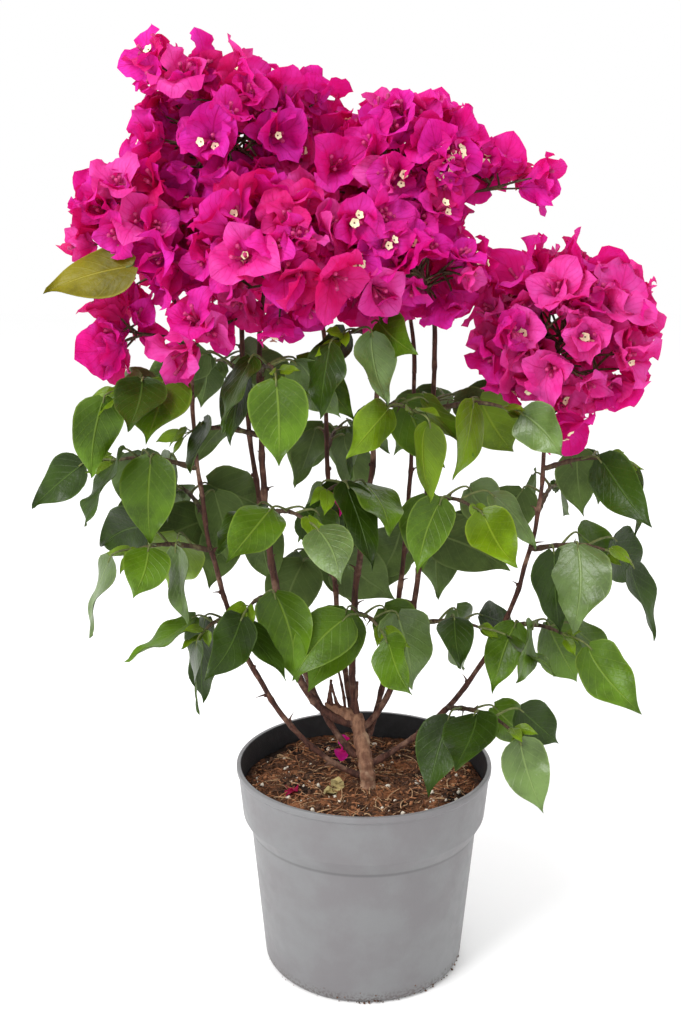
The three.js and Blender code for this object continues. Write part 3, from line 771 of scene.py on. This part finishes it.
def wandering(curve, seed, steps, reach):
    """Points of a curve that strays a little, but not at its ends."""
    points = []
    for i in range(steps + 1):
        share = i / steps
        stray = reach * sin(pi * share) ** 0.5
        offset = Vector((seed % 53, seed % 29, share * curve.lengths[-1] / 26))
        aside = Vector((noise.noise(offset), noise.noise(offset + Vector((17, 3, 0))), 0))
        points.append(curve.point(share) + aside * stray)
    return points


def grow_bough(name, bough):
    """A bough with a collar at its foot, and with knots and thorns."""
    curve = bough_curve(bough)
    limbs[name] = (curve, lambda share: lerp(*bough.radii, share))
    skin = SKINS["bough_bark"]
    seed = seed_of(name)
    length = curve.lengths[-1]
    nodes = knots(seed, 24, length)
    carrier = limbs["trunk"][0].point(min(bough.at, NEAR_TIP))
    path = [carrier, carrier.lerp(curve.point(0), 0.6), *wandering(curve, seed, 90, 1.5)]

    def radius_at(share):
        return lerp(*bough.radii, share) * (0.9 + 0.3 * exp(-((share / 0.035) ** 2)))

    skin.tube(path, radius_at, 10, bark_relief(seed, nodes, 2.2 / length, 0.22))
    roll = dice(seed + 5)
    for index, share in enumerate(nodes):
        ahead = curve.tangent(share)
        out = square_to(ahead, index * GOLDEN_TURN + roll())
        to_bark = out * lerp(*bough.radii, share)
        turn = out.to_track_quat("Z", "Y")
        skin.lump(curve.point(share) + to_bark, (1.3, 1.5, 0.9), turn, 5, 8, 0.4, index * 1.3)
        if roll() < 0.75:
            direction = (out + ahead * 0.5).normalized()
            add_thorn(skin, curve.point(share) + to_bark * 0.7, direction, roll(4, 8.5))


# ---- Leaves ----

Leaf = namedtuple("Leaf", "petiole root along face length width")


def leaf_face(root, along, roll):
    """Which way a blade faces: out of the crown and up."""
    side = 0.8 * root.x / CROWN_HALF_WIDTH
    face = Vector((side, -1 if root.y < CROWN_RIDGE else 1, roll(0.3, 1)))
    return turned_about(squared(face, along), along, radians(roll(*LEAF["roll"])))


def throw_leaf(curve, index, count, roll):
    is_last = index == count - 1
    share = 1 if is_last else 0.22 + 0.7 * index / (count - 1)
    place = curve.point(share)
    tangent = curve.tangent(share)
    level = tangent.cross(UP).normalized()
    turn = (index % 2) * pi + roll(-0.7, 0.7)
    radial = level * cos(turn) + level.cross(tangent) * abs(sin(turn))
    forward, aside = (1, 0.15) if is_last else (0.55, 0.95)
    start = (tangent * forward + radial * aside + UP * 0.25).normalized()
    along = swung(squared(start, UP), UP, -radians(roll(*LEAF["droop"])))
    stalk = roll(*LEAF["petiole"])
    root = place + start * stalk * 0.75 + along * stalk * 0.3
    petiole = Curve(place, place + start * stalk * 0.8, root)
    face = leaf_face(root, along, roll)
    length = roll(*LEAF["length"]) * lerp(1, 0.86, share)
    width = length * LEAF["width_share"] * roll(0.88, 1.1)
    return Leaf(petiole, root, along, face, length, width)


def leaf_marks(leaf):
    """Points that the leaf's solid has on its outline."""
    side = leaf.face.cross(leaf.along).normalized()
    marks = [leaf.root + leaf.along * leaf.length - leaf.face * LEAF["arch"] * leaf.length]
    for share, wide in LEAF["outline"]:
        centre = leaf.root + leaf.along * share * leaf.length
        centre -= leaf.face * LEAF["arch"] * leaf.length * share**2
        edge = side * wide * leaf.width / 2
        marks += [centre + edge, centre - edge]
    return marks


def add_leaf(leaf, finish, seed, rows=19, half=5, thickness=0.35):
    """A leaf blade of two skins: heart-shaped foot, keel, wavy rim and a drawn-out tip."""
    roll = dice(seed * 13 + 7)
    _, root, along, face, length, width = leaf
    side = face.cross(along).normalized()
    fold = roll(0.02, 0.24)
    twist = roll(-0.5, 0.5)
    waves = roll(1.0, 2.3)
    phase = TURN * roll()
    height = length * roll(0.015, 0.055)
    curl = roll(-0.1, 0.35)
    sweep = roll(-0.07, 0.07)
    lobes = roll(0.02, 0.07)
    depth = 0

    def section(share):
        wide = along_table(LEAF_OUTLINE, share) * width / 2
        droop = LEAF["arch"] * share**2 + curl * max(0, share - 0.75) ** 2
        centre = root + along * share * length - face * droop * length
        centre += side * sweep * length * sin(pi * share)
        tilt = twist * (share - 0.2)
        across = swung(side, face, tilt)
        above = swung(face, -side, tilt)

        def spot_at(u):
            rim = sin(TURN * waves * share + phase + (1.3 if u > 0 else 0)) * height
            rise = 2 * fold * wide * (abs(u) ** 1.25 - 1) + rim * u * u + 0.12 * wide * (1 - u * u)
            back = lobes * length * abs(u) * (1 - share) ** 5
            return centre + across * u * wide + above * (rise - depth) - along * back

        return spot_at

    SKINS[finish].blade(rows, half, section)
    depth = thickness
    SKINS["leaf_under"].blade(rows, half, section, is_lower=True)


def posed(leaf, roll):
    """The leaf a little smaller and turned on its petiole, as no two hang alike."""
    side = leaf.face.cross(leaf.along).normalized()
    along = turned_about(leaf.along, side, radians(roll(-12, 12)))
    along = turned_about(along, leaf.face, radians(roll(-9, 9))).normalized()
    face = turned_about(squared(leaf.face, along), along, radians(roll(-46, 46)))
    length = leaf.length * roll(0.73, 0.95)
    return leaf._replace(along=along, face=face, length=length, width=leaf.width * roll(0.8, 1.05))


def add_petiole(leaf, thick=1):
    path = [*leaf.petiole.points(8), leaf.root + leaf.along * leaf.length * 0.06]
    SKINS["petiole_green"].tube(path, (thick * 0.95, thick * 0.55))


def spray_shoot(spray, turn):
    """A spray's shoot and the point on its bough's axis that it comes from."""
    out = compass(spray.heading + turn)
    to_bend = out * spray.reach * 0.6 + UP * spray.reach * 0.22
    curve = limbs[spray.bough][0]
    low = 0
    high = 1
    for _ in range(24):
        middle = (low + high) / 2
        if curve.point(middle).z < spray.height:
            low = middle
        else:
            high = middle
    foot = leave_point(spray.bough, low, to_bend.normalized(), SHOOT_RADIUS)
    return Curve(foot, foot + to_bend, foot + out * spray.reach + UP * spray.reach * 0.12), curve.point(low)


def standing_leaves(name, spray, turn, tree):
    """The leaves of a spray that its solid holds, if its shoot takes this turn."""
    curve, node = spray_shoot(spray, turn)
    leaves = []
    for index in range(spray.leaves):

        def throw(roll, attempt):
            return throw_leaf(curve, index, spray.leaves, roll)

        leaves += first_held(tree, seed_of(name) + index, throw, leaf_marks)
    return leaves, curve, node


def small_leaf(foot, start, length, roll):
    """A young leaf at a shoot's tip."""
    level = Vector((start.x, start.y, 0))
    level = level.normalized() if level.length > 0.1 else Vector((1, 0, 0))
    along = swung(level, UP, radians(roll(-50, 15)))
    stalk = length * 0.3
    root = foot + start * stalk
    face = leaf_face(root, along, roll)
    petiole = Curve(foot, foot + start * stalk * 0.6, root)
    return Leaf(petiole, root, along, face, length, length * roll(0.42, 0.58))


def grow_spray(name, spray):
    """A shoot with its standing leaves, young leaves at its tip, and thorns."""
    tree = vertex_tree(name)
    choices = [standing_leaves(name, spray, turn, tree) for turn in (0, 14, -14, 28, -28, 42, -42)]
    leaves, curve, node = max(choices, key=lambda choice: len(choice[0]))
    seed = seed_of(name)
    roll = dice(seed + 71)
    nodes = knots(seed, 9, curve.lengths[-1])
    skin = SKINS["shoot_bark"]
    skin.tube([node, *curve.points(22)], (1.75, 0.95), 8, bark_relief(seed, nodes, 0.035, 0.2))
    for own_seed, leaf in leaves:
        own = posed(leaf, roll)
        add_leaf(own, pick(roll, LEAF_TONES), own_seed)
        add_petiole(own)
    ahead = curve.tangent(1)
    for index in range(3):
        start = (ahead + square_to(ahead, index * GOLDEN_TURN + roll()) * 0.7 + UP * 0.3).normalized()
        leaf = small_leaf(curve.point(1), start, roll(9, 20), roll)
        add_leaf(leaf, "leaf_bright", seed + 301 + index, 8, 3, 0.25)
        add_petiole(leaf, 0.5)
    for index, share in enumerate(nodes):
        heading = curve.tangent(share)
        out = square_to(heading, index * GOLDEN_TURN + 2 * roll())
        if roll() < 0.6:
            add_thorn(skin, curve.point(share), (out + heading * 0.4).normalized(), 5.5)


# ---- Heads of blossom ----

Lobe = namedtuple("Lobe", "radial flare length along inward", defaults=(None, None))
Cluster = namedtuple("Cluster", "curve middle axis lobes")


def cluster_on(curve, axis, roll, size=1):
    """A cluster at a twig's end: where each of its three bracts lies about its axis."""
    across = axis.cross(Vector((1, 0, 0)) if abs(axis.z) > 0.8 else UP).normalized()
    spin = roll() * TURN
    lobes = []
    for i in range(3):
        radial = turned_about(across, axis, spin + i * TURN / 3 + roll(-0.2, 0.2))
        flare = radians(roll(*BRACT["flare"]))
        length = size * roll(*BRACT["length"])
        lobes.append(Lobe(radial, flare, length, swung(axis, radial, flare), swung(-radial, axis, flare)))
    return Cluster(curve, curve.point(1), axis, lobes)


def cluster_marks(cluster):
    """Points that the cluster's solid has on its rim."""
    marks = []
    for lobe in cluster.lobes:
        side = lobe.along.cross(lobe.inward)
        for share, half in BRACT["outline"]:
            spot = cluster.middle + lobe.along * share * lobe.length
            spot += lobe.inward * half * BRACT["cup"] * lobe.length
            aside = side * half * BRACT["width_share"] * lobe.length / 2
            marks += [spot + aside, spot - aside]
    return marks


def spread_direction(index, count, roll, jitter):
    """A direction out of a head, on a spiral from its top down."""
    z = 1 - 1.72 * (index + 0.5) / count + jitter * roll(-0.3, 0.3)
    turn = index * GOLDEN_TURN + roll(-jitter, jitter)
    return (level_way(turn) * sqrt(max(0, 1 - z * z)) + UP * z).normalized()


def head_stem(head):
    curve = limbs[head.bough][0]
    tangent = curve.tangent(1)
    foot = curve.point(1) + tangent * SEAT
    centre = Vector(head.centre)
    return Curve(foot, foot + tangent * (foot - centre).length * 0.45, centre)


def throw_cluster(stem, head, index, roll, attempt):
    direction = spread_direction(index, head.clusters, roll, 0.25 + 0.15 * attempt)
    size = lerp(1, BRACT["smallest"], attempt / (TRIES - 1))
    room = BRACT["length"][0] * 0.6 * size
    share = roll(1, 0.88)
    end = Vector(head.centre) + times(direction, [(radius - room) * share for radius in head.radii])
    start = stem.point(lerp(0.6, 1, clamp((direction.z + 1) / 2)))
    axis = (over(direction, head.radii).normalized() + UP * 0.2).normalized()
    return cluster_on(arc(start, end, 3 * roll(), 0.55), axis, roll, size)


def throw_sprig_cluster(sprig, index, count, roll):
    if index == 0:
        return cluster_on(sprig, sprig.tangent(1), roll)
    share = 1 - 0.5 * index / count
    node = sprig.point(share)
    forward = sprig.tangent(share)
    aside = turned_about(forward.cross(UP).normalized(), forward, index * GOLDEN_TURN + TURN * roll())
    axis = (forward * 0.5 + aside).normalized()
    return cluster_on(arc(node, node + axis * roll(12, 18), 0), axis, roll)


def add_bract(lobe, middle, axis, finish, roll, size):
    """A papery bract: it rises with the axis, flares outwards, cups and crumples."""
    rows = 12
    length = lobe.length * size * roll(0.84, 1.12)
    width = length * roll(0.74, 1.0)
    opening = lobe.flare * roll(0.65, 1.35)
    last = opening * roll(1.35, 1.75)
    side = axis.cross(lobe.radial).normalized()
    cup = roll(0.0, 0.5)
    height = length * roll(0.04, 0.13)
    waves = roll(1.2, 2.8)
    phase = TURN * roll()
    twist = roll(-0.85, 0.85)
    slant = roll(-0.5, 0.5)
    bow = roll(-0.1, 0.1) * length
    offset = Vector((roll(), roll(), roll())) * 90
    spine = middle - axis * 1.2

    def section(share):
        nonlocal spine
        lean = lerp(opening * 0.35, last, share**1.2)
        inward = swung(-lobe.radial, axis, lean)
        if share:
            spine = spine + swung(axis, lobe.radial, lean) * length / rows
        wide = along_table(BRACT_OUTLINE, share) * width / 2
        tilt = slant * min(1, share / 0.25) + twist * share
        across = swung(side, inward, tilt)
        above = swung(inward, -side, tilt)
        shifted = spine + side * bow * sin(pi * share)

        def spot_at(u):
            rim = sin(TURN * waves * share + phase + (2.1 if u > 0 else 0)) * height
            rim += sin(TURN * 2.3 * waves * share + 1.7 * phase + u) * height * 0.45
            rise = cup * wide * u * u * (1 - 0.5 * share) + rim * abs(u) ** 1.6
            spot = shifted + across * u * wide + above * rise
            crumple = noise.noise(spot * 0.11 + offset) * 0.9 + noise.noise(spot * 0.28 + offset) * 0.5
            return spot + above * crumple * share * length * 0.12

        return spot_at

    SKINS[finish].blade(rows, 4, section)


def add_flower(middle, direction, length, is_open, roll):
    """A slender tube with a five-lobed cream star, or a closed bud."""
    bend = Vector((roll(-1, 1), roll(-1, 1), roll(-0.5, 1))) * 1.5
    path = Curve(middle, middle + direction * length * 0.5 + bend, middle + direction * length)
    SKINS["flower_tube"].tube(path.points(6), lambda share: along_table(TUBE_BULGE, share), 5)
    if not is_open:
        return
    ahead = path.tangent(1)
    centre = path.point(1) + direction * 0.5
    radius = roll(2.2, 3.1)
    points = 20

    def rim_at(turn):
        lobe = abs(sin(turn * 2.5 + 0.4)) ** 0.55
        return centre + square_to(ahead, turn) * radius * lerp(0.62, 1.0, lobe) + ahead * lerp(0.2, 1.1, lobe)

    skin = SKINS["flower_cream"]
    hub = [skin.add(centre - ahead * 0.3)] * points
    inner = skin.ring(points, lambda turn: centre + square_to(ahead, turn) * 0.8)
    skin.rows([hub, inner, skin.ring(points, rim_at)])
    turn = ahead.to_track_quat("Z", "Y")
    SKINS["flower_eye"].lump(centre + ahead * 0.2, (0.42, 0.42, 0.35), turn, 4, 7)


def add_cluster(cluster, finish, seed, size=0.95):
    """A cluster on its twig, with its flowers."""
    roll = dice(seed * 7 + 3)
    curve, middle, axis, lobes = cluster
    SKINS["shoot_bark"].tube(curve.points(6), (0.9, 0.6), 5)
    in_bloom = roll() < 0.27
    for lobe in lobes:
        add_bract(lobe, middle, axis, finish, roll, size)
        direction = swung(axis, lobe.radial, lobe.flare * 0.3).normalized()
        is_open = in_bloom and roll() < 0.7
        add_flower(middle, direction, lobe.length * roll(0.38, 0.56), is_open, roll)


def side_cluster(parent, head, depth, roll):
    """A smaller cluster on a finer twig that branches off another cluster's twig, in the head's reach."""
    centre = Vector(head.centre)
    start = parent.point(roll(0.35, 0.8))
    jitter = Vector((roll(-1, 1), roll(-1, 1), roll(-0.8, 1)))
    direction = (over(parent.point(1) - centre, head.radii) + jitter * 0.42).normalized()
    end = centre + times(direction, head.radii) * depth
    axis = over(direction, head.radii).normalized()
    axis = (axis + jitter * 0.55 + UP * 0.15).normalized()
    return cluster_on(arc(start, end, 2), axis, roll, roll(0.55, 0.84))


def tip_cluster(parent, roll):
    """A smaller cluster close by one that stands alone on a sprig."""
    start = parent.point(roll(0.4, 0.9))
    jitter = Vector((roll(-1, 1), roll(-1, 1), roll(-1, 1)))
    end = parent.point(1) + jitter * 11 - parent.tangent(1) * roll(2, 12)
    axis = (parent.tangent(1) * 0.6 + jitter).normalized()
    return cluster_on(arc(start, end, 0), axis, roll, roll(0.5, 0.78))


def head_tone(name, roll):
    return pick(roll, PINK_TONES if name == PINK_HEAD else BRACT_TONES)


def standing_clusters(name, head):
    """The clusters of a head that its solid holds, those on its sprigs first, each with its seed."""
    tree = vertex_tree(name)
    stem = head_stem(head)
    seed = seed_of(name)
    on_sprigs = []
    for order, (to, start_share, count) in enumerate(head.sprigs):
        sprig = arc(stem.point(start_share), Vector(to), 12)
        for index in range(count):

            def throw(roll, attempt):
                return throw_sprig_cluster(sprig, index, count, roll)

            on_sprigs += first_held(tree, seed + 1000 * (order + 1) + index, throw, cluster_marks)
    in_head = []
    for index in range(head.clusters):

        def throw(roll, attempt):
            return throw_cluster(stem, head, index, roll, attempt)

        in_head += first_held(tree, seed + index, throw, cluster_marks)
    return on_sprigs, in_head


def grow_head(name, head):
    """A head of blossom: each standing cluster and three smaller ones on finer twigs by it."""
    roll = dice(seed_of(name) + 17)
    stem = head_stem(head)
    SKINS["bough_bark"].tube([limbs[head.bough][0].point(NEAR_TIP), *stem.points(20)], (1.6, 0.9), 8)
    on_sprigs, in_head = standing_clusters(name, head)
    for own, cluster in on_sprigs:
        add_cluster(cluster, head_tone(name, roll), own, 0.85)
        for extra in range(1, 4):
            add_cluster(tip_cluster(cluster.curve, roll), head_tone(name, roll), own + EXTRA_SEED * extra)
    for own, cluster in in_head:
        add_cluster(cluster, head_tone(name, roll), own, 1.1 if name == PINK_HEAD else 0.96)
        for extra, depths in enumerate(((0.36, 0.56), (0.58, 0.76), (0.58, 0.76)), 1):
            more = side_cluster(cluster.curve, head, roll(*depths), roll)
            add_cluster(more, head_tone(name, roll), own + EXTRA_SEED * extra)


def grow_links():
    """Clusters on finer twigs in the room between neighbouring heads."""
    for order, (first, second, count) in enumerate(LINKS):
        roll = dice(9000 + order)
        ends = [f"blossom_{first}", f"blossom_{second}"]
        near, far = (Vector(HEADS[name].centre) for name in ends)
        way = (far - near).normalized()
        for index in range(count):
            share = roll(0.3, 0.7)
            out = square_to(way, TURN * roll())
            spot = near.lerp(far, share) + out * roll(6, 29)
            owner = ends[0] if share < 0.5 else ends[1]
            start = head_stem(HEADS[owner]).point(roll(0.7, 1))
            axis = (out + (spot - CROWD_CORE).normalized() + UP * 0.2).normalized()
            cluster = cluster_on(arc(start, spot, 3), axis, roll, roll(0.6, 0.92))
            add_cluster(cluster, head_tone(owner, roll), 60000 + 100 * order + index)


# ---- Pot and potting mix ----


def rounded_profile(profile):
    """Spots of a profile of radii, heights and roundings, with its corners rounded."""
    spots = [Vector((radius, 0, height)) for radius, height, _ in profile]
    rounded = []
    for i, here in enumerate(spots):
        rounding = profile[i][2]
        if not rounding:
            rounded.append(here)
            continue
        ways = [spots[i - 1] - here, spots[i + 1] - here]
        start, end = (here + way.normalized() * min(rounding, way.length * 0.45) for way in ways)
        rounded += [start.lerp(here, t).lerp(here.lerp(end, t), t) for t in (0, 0.25, 0.5, 0.75, 1)]
    return rounded


def drill_holes(piece):
    """Cuts the drain holes through the pot's floor."""
    cutters = Skin()
    for index in range(POT["drain_holes"]):
        centre = level_way((index + 0.5) / POT["drain_holes"] * TURN) * POT["drain_ring"]
        cutters.tube([centre - UP * 6, centre, centre + UP * 6], [POT["drain_radius"]] * 2, 20)
    cutter = cutters.build("drain_cutter", MATERIALS["pot_grey"])
    cut = piece.modifiers.new("holes", "BOOLEAN")
    cut.object = cutter
    cut.operation = "DIFFERENCE"
    cut.solver = "EXACT"
    graph = bpy.context.evaluated_depsgraph_get()
    drilled = bpy.data.meshes.new_from_object(piece.evaluated_get(graph))
    piece.modifiers.remove(cut)
    piece.data = drilled
    bpy.data.objects.remove(cutter)


def grow_pot():
    """The pot, black inside, turned from its profile and drilled."""
    wall = POT["wall"]
    rim = POT["rim_radius"]
    height = POT["height"]
    lip = rim - POT["lip_depth"]
    under_lip = height - POT["lip_drop"]
    collar, collar_foot = POT["collar_foot"]
    shoulder, step = POT["shoulder"]
    base = POT["base_radius"]
    edge = POT["base_edge"]
    ring_width, ring_slope, ring_height = POT["foot_ring"]
    ring = base - ring_width
    profile = [
        (0, POT["floor"], 0),
        (base - wall, POT["floor"], 2),
        (shoulder - wall, step + 1, 3),
        (collar - wall, collar_foot + 1, 2),
        (lip - wall, height - 0.3, 0.8),
        (rim, height, 1.2),
        (rim, under_lip, 1.2),
        (lip, under_lip - 1, 0.6),
        (collar, collar_foot, 1),
        (shoulder, step, 1.6),
        (base, edge, 2),
        (base - edge, 0, 1),
        (ring, 0, 0.6),
        (ring - ring_slope, ring_height, 0.6),
        (0, ring_height, 0),
    ]
    skin = Skin()
    skin.rows([skin.circle(spot.x, spot.z, 144) for spot in rounded_profile(profile)[::-1]])
    piece = skin.build("pot_shell", MATERIALS["pot_grey"])
    drill_holes(piece)
    piece.data.materials.clear()
    piece.data.materials.append(MATERIALS["pot_grey"])
    piece.data.materials.append(MATERIALS["pot_inside"])
    for face in piece.data.polygons:
        face.use_smooth = True
        centre = face.center * 1000
        normal = face.normal
        faces_in = normal.x * centre.x + normal.y * centre.y < 0 and hypot(normal.x, normal.y) > 0.5
        is_floor = normal.z > 0.7 and centre.z < 10
        if faces_in and hypot(centre.x, centre.y) > 30 or is_floor:
            face.material_index = 1
    sharp = piece.modifiers.new("edges", "EDGE_SPLIT")
    sharp.split_angle = radians(50)
    place_piece(piece, "pot_plastic", "pot")


def on_soil(x, y):
    """The spot of the potting mix's surface over a place."""
    spot = Vector((x, y, 0))
    away = hypot(x, y) / 80
    foot = Vector(TRUNK["foot"])
    mound = 2.2 * exp(-(((x - foot.x) ** 2 + (y - foot.y) ** 2) / 500))
    rolls = 2.6 * noise.noise(spot * 0.035 + Vector((4, 9, 2)))
    lumps = 1.6 * noise.noise(spot * 0.16 + Vector((1, 5, 7)))
    crumbs = 0.9 * noise.noise(spot * 0.55)
    return spot + UP * (SOIL_LEVEL + mound + rolls + lumps + crumbs - 2.2 * away**4 + 0.4)


def grow_soil():
    rim = POT["rim_radius"] - POT["lip_depth"] - POT["wall"]
    foot_radius, foot_height = POT["collar_foot"]
    share = (SOIL_LEVEL - foot_height - 1) / (POT["height"] - foot_height - 1)
    radius = lerp(foot_radius - POT["wall"], rim, share) - 0.5
    skin = SKINS["peat"]
    rings = 62
    sides = 200
    rows = [[skin.add(on_soil(0, 0))] * sides]
    for ring in range(1, rings + 1):
        out = radius * ring / rings
        rows.append(skin.ring(sides, lambda turn: on_soil(out * cos(turn), out * sin(turn))))
    below = ((foot_radius - 2.4, foot_height), (POT["shoulder"][0] - 2.4, 97), (65, 2.8), (0, 2.8))
    skin.rows(rows + [skin.circle(wide, height, sides) for wide, height in below])
    strew_soil(radius)
    strew_litter()
    strew_foot()


def random_spot(roll, radius):
    out = radius * sqrt(roll())
    turn = TURN * roll()
    return on_soil(out * cos(turn), out * sin(turn))


def random_turn(roll):
    axis = (roll(-0.5, 0.5), roll(-0.5, 0.5), roll(-0.5, 0.5))
    return Quaternion(axis, TURN * roll()).normalized()


def random_grain(roll, radius, sizes, power, wide, thick):
    """The spot, radii and turn of a grain that lies on the mix."""
    spot = random_spot(roll, radius)
    size = lerp(*sizes, roll() ** power)
    radii = (size, size * roll(*wide), size * roll(*thick))
    return spot, radii, random_turn(roll)


def strew_soil(radius):
    """Peat crumbs, bark chips, perlite and fibres on the potting mix."""
    roll = dice(7117)
    for index in range(STREWN["crumbs"]):
        spot, radii, turn = random_grain(roll, radius - 3, (0.6, 2.3), 2.5, (0.5, 0.9), (0.4, 0.8))
        skin = SKINS[pick(roll, CRUMBS)]
        skin.lump(spot + UP * radii[0] * 0.25, radii, turn, 3, 5, 0.6, index * 0.37)
    for index in range(STREWN["perlite"]):
        spot, radii, turn = random_grain(roll, radius - 4, (0.45, 1.9), 2, (0.7, 1), (0.6, 0.9))
        SKINS["perlite"].lump(spot + UP * radii[0] * 0.4, radii, turn, 4, 6, 0.9, index * 0.73)
    for _ in range(STREWN["fibres"]):
        spot = random_spot(roll, radius - 5)
        reach = lerp(4, 17, roll() ** 1.6)
        way = compass(360 * roll()) * reach
        bend = compass(360 * roll()) * reach * 0.25 + UP * lerp(0.2, 3.2, roll() ** 2)
        end = spot + way
        if hypot(end.x, end.y) > radius - 2:
            end = spot - way * 0.7
        end.z = on_soil(end.x, end.y).z + roll(-0.5, 1.2)
        thick = lerp(0.16, 0.5, roll() ** 2)
        fibre = Curve(spot, spot.lerp(end, 0.5) + bend, end)
        SKINS[pick(roll, FIBRES)].tube(fibre.points(6), (thick, thick), 4)


def strew_foot():
    """Crumbs of the mix that stick round the pot's foot, most of them at the front right."""
    roll = dice(2203)
    for index in range(STREWN["on_foot"]):
        heading = compass(lerp(-125, 35, roll() ** 0.7) if index % 3 else 360 * roll())
        height = lerp(1, 9, roll() ** 2.2) + (9 * roll() ** 3 if heading.x > 0.8 else 0)
        out = lerp(POT["base_radius"] - 0.6, POT["shoulder"][0], height / POT["shoulder"][1])
        size = lerp(0.3, 1.0, roll() ** 2)
        turn = random_turn(roll)
        radii = (size, size * 0.8, size * 0.7)
        SKINS[pick(roll, DIRT)].lump(heading * out + UP * height, radii, turn, 3, 5, 0.6, index)


def add_loose_bract(spot, axis, turn, flare, length, finish, roll):
    lobe = Lobe(square_to(axis, turn), radians(flare), length)
    add_bract(lobe, spot, axis, finish, roll, 1)


def strew_litter():
    """A fallen pair of bracts behind the trunk, a red scrap and a shrivelled leaf in front."""
    for x, y, rise, axis, finish, seed, length in (
        (-15, 36, 5, (0.5, -0.5, 0.7), "bract_magenta", 91, 15),
        (-45, -20, 1, (-0.6, 0.1, 0.75), "bract_red", 95, 10),
    ):
        roll = dice(seed)
        axis = Vector(axis).normalized()
        for index in range(2):
            spot = on_soil(x, y) + UP * rise
            add_loose_bract(spot, axis, index * 2.2 + roll(), 62, length, finish, roll)
    roll = dice(619)
    for _ in range(9):
        spot = on_soil(-20 + roll(-4, 4), -19 + roll(-3, 3)) + UP * 0.6
        axis = Vector((roll(-0.5, 0.5), roll(-0.5, 0.5), 0.6)).normalized()
        add_loose_bract(spot, axis, TURN * roll(), 66, roll(6, 11), "dry_leaf", roll)


# ---- Single things that show in the crown ----


def grow_odd_leaf():
    """An ageing leaf that stands out to the left of the blossom."""
    root = Vector((-136, -44, 466))
    along = Vector((-0.97, -0.1, -0.2)).normalized()
    face = squared(Vector((0.05, -0.8, 0.6)), along)
    petiole = arc(head_stem(HEADS["blossom_left"]).point(0.75), root, 6)
    leaf = Leaf(petiole, root, along, face, 54, 33)
    add_leaf(leaf, "leaf_olive", 4242)
    add_petiole(leaf)


def grow_odd_bract():
    """A lone small cluster low among the leaves."""
    twig = arc(limbs["bough_centre"][0].point(0.52), Vector((-18, -15, 312)), 4)
    cluster = cluster_on(twig, Vector((-0.5, -0.5, 0.5)).normalized(), dice(818), 0.6)
    add_cluster(cluster, "bract_magenta", 818)


# ---- Camera, lights and floor, in metres ----


def add_camera():
    data = bpy.data.cameras.new("camera")
    data.lens = 43.85
    data.sensor_width = 36
    data.clip_start = 0.02
    camera = new_object("camera", data)
    camera.location = (-0.0156, -0.776, 0.492)
    camera.rotation_euler = (radians(90 - 13.2), 0, 0)
    bpy.context.scene.camera = camera


def add_lamp(name, location, size, power):
    """A square soft lamp that shines at the crown's middle."""
    data = bpy.data.lights.new(name, "AREA")
    data.shape = "SQUARE"
    data.size = size
    data.energy = power
    lamp = new_object(name, data)
    lamp.location = location
    lamp.rotation_euler = (Vector((0, 0, 0.35)) - Vector(location)).to_track_quat("-Z", "Y").to_euler()


def add_studio():
    """A white room with a pale floor."""
    world = bpy.data.worlds.new("studio")
    world.use_nodes = True
    background = world.node_tree.nodes["Background"]
    background.inputs["Color"].default_value = (1, 1, 1, 1)
    background.inputs["Strength"].default_value = 1.0
    bpy.context.scene.world = world
    add_lamp("key", (-1.1, -1.1, 1.6), 0.9, 34)
    add_lamp("fill", (1.4, -1.1, 0.9), 1.4, 4)
    add_lamp("back", (0.2, 1.5, 1.5), 1.2, 8)
    floor = Skin()
    corners = ((-1, -1), (1, -1), (1, 1), (-1, 1))
    floor.faces.append([floor.add(Vector((x, y, 0)) * 6000) for x, y in corners])
    finish = Finish("floor", (0.98, 0.98, 0.98), 1, 0)
    finish.coat((0.99, 0.99, 0.99), finish.noise(3, 2))
    floor.build("floor", finish.material)
    bpy.context.scene.view_settings.view_transform = "Standard"


# ---- The whole plant ----

add_camera()
add_studio()
grow_trunk()
for limb_name, limb in BOUGHS.items():
    grow_bough(limb_name, limb)
for head_name, own_head in HEADS.items():
    grow_head(head_name, own_head)
for spray_name, own_spray in SPRAYS.items():
    grow_spray(spray_name, own_spray)
grow_links()
grow_odd_leaf()
grow_odd_bract()
grow_pot()
grow_soil()

# The slot of each finish, by its first word, and the solids that a finish's piece stands for.
SLOTS = {
    "leaf": "leaf_green",
    "petiole": "leaf_green",
    "bract": "bract_magenta",
    "flower": "bract_magenta",
    "bough": "bough_bark",
    "shoot": "bough_bark",
    "trunk": "trunk_bark",
}
STANDS_FOR = {
    "leaf_mid": list(SPRAYS),
    "bract_magenta": list(HEADS),
    "bough_bark": list(BOUGHS),
    "trunk_bark": ["trunk"],
    "peat": ["potting_mix"],
}
for skin_name, gathered in SKINS.items():
    if gathered.faces:
        made = gathered.build(f"{skin_name}_piece", MATERIALS[skin_name])
        slot_name = SLOTS.get(skin_name.split("_")[0], "potting_mix")
        place_piece(made, slot_name, *STANDS_FOR.get(skin_name, []))
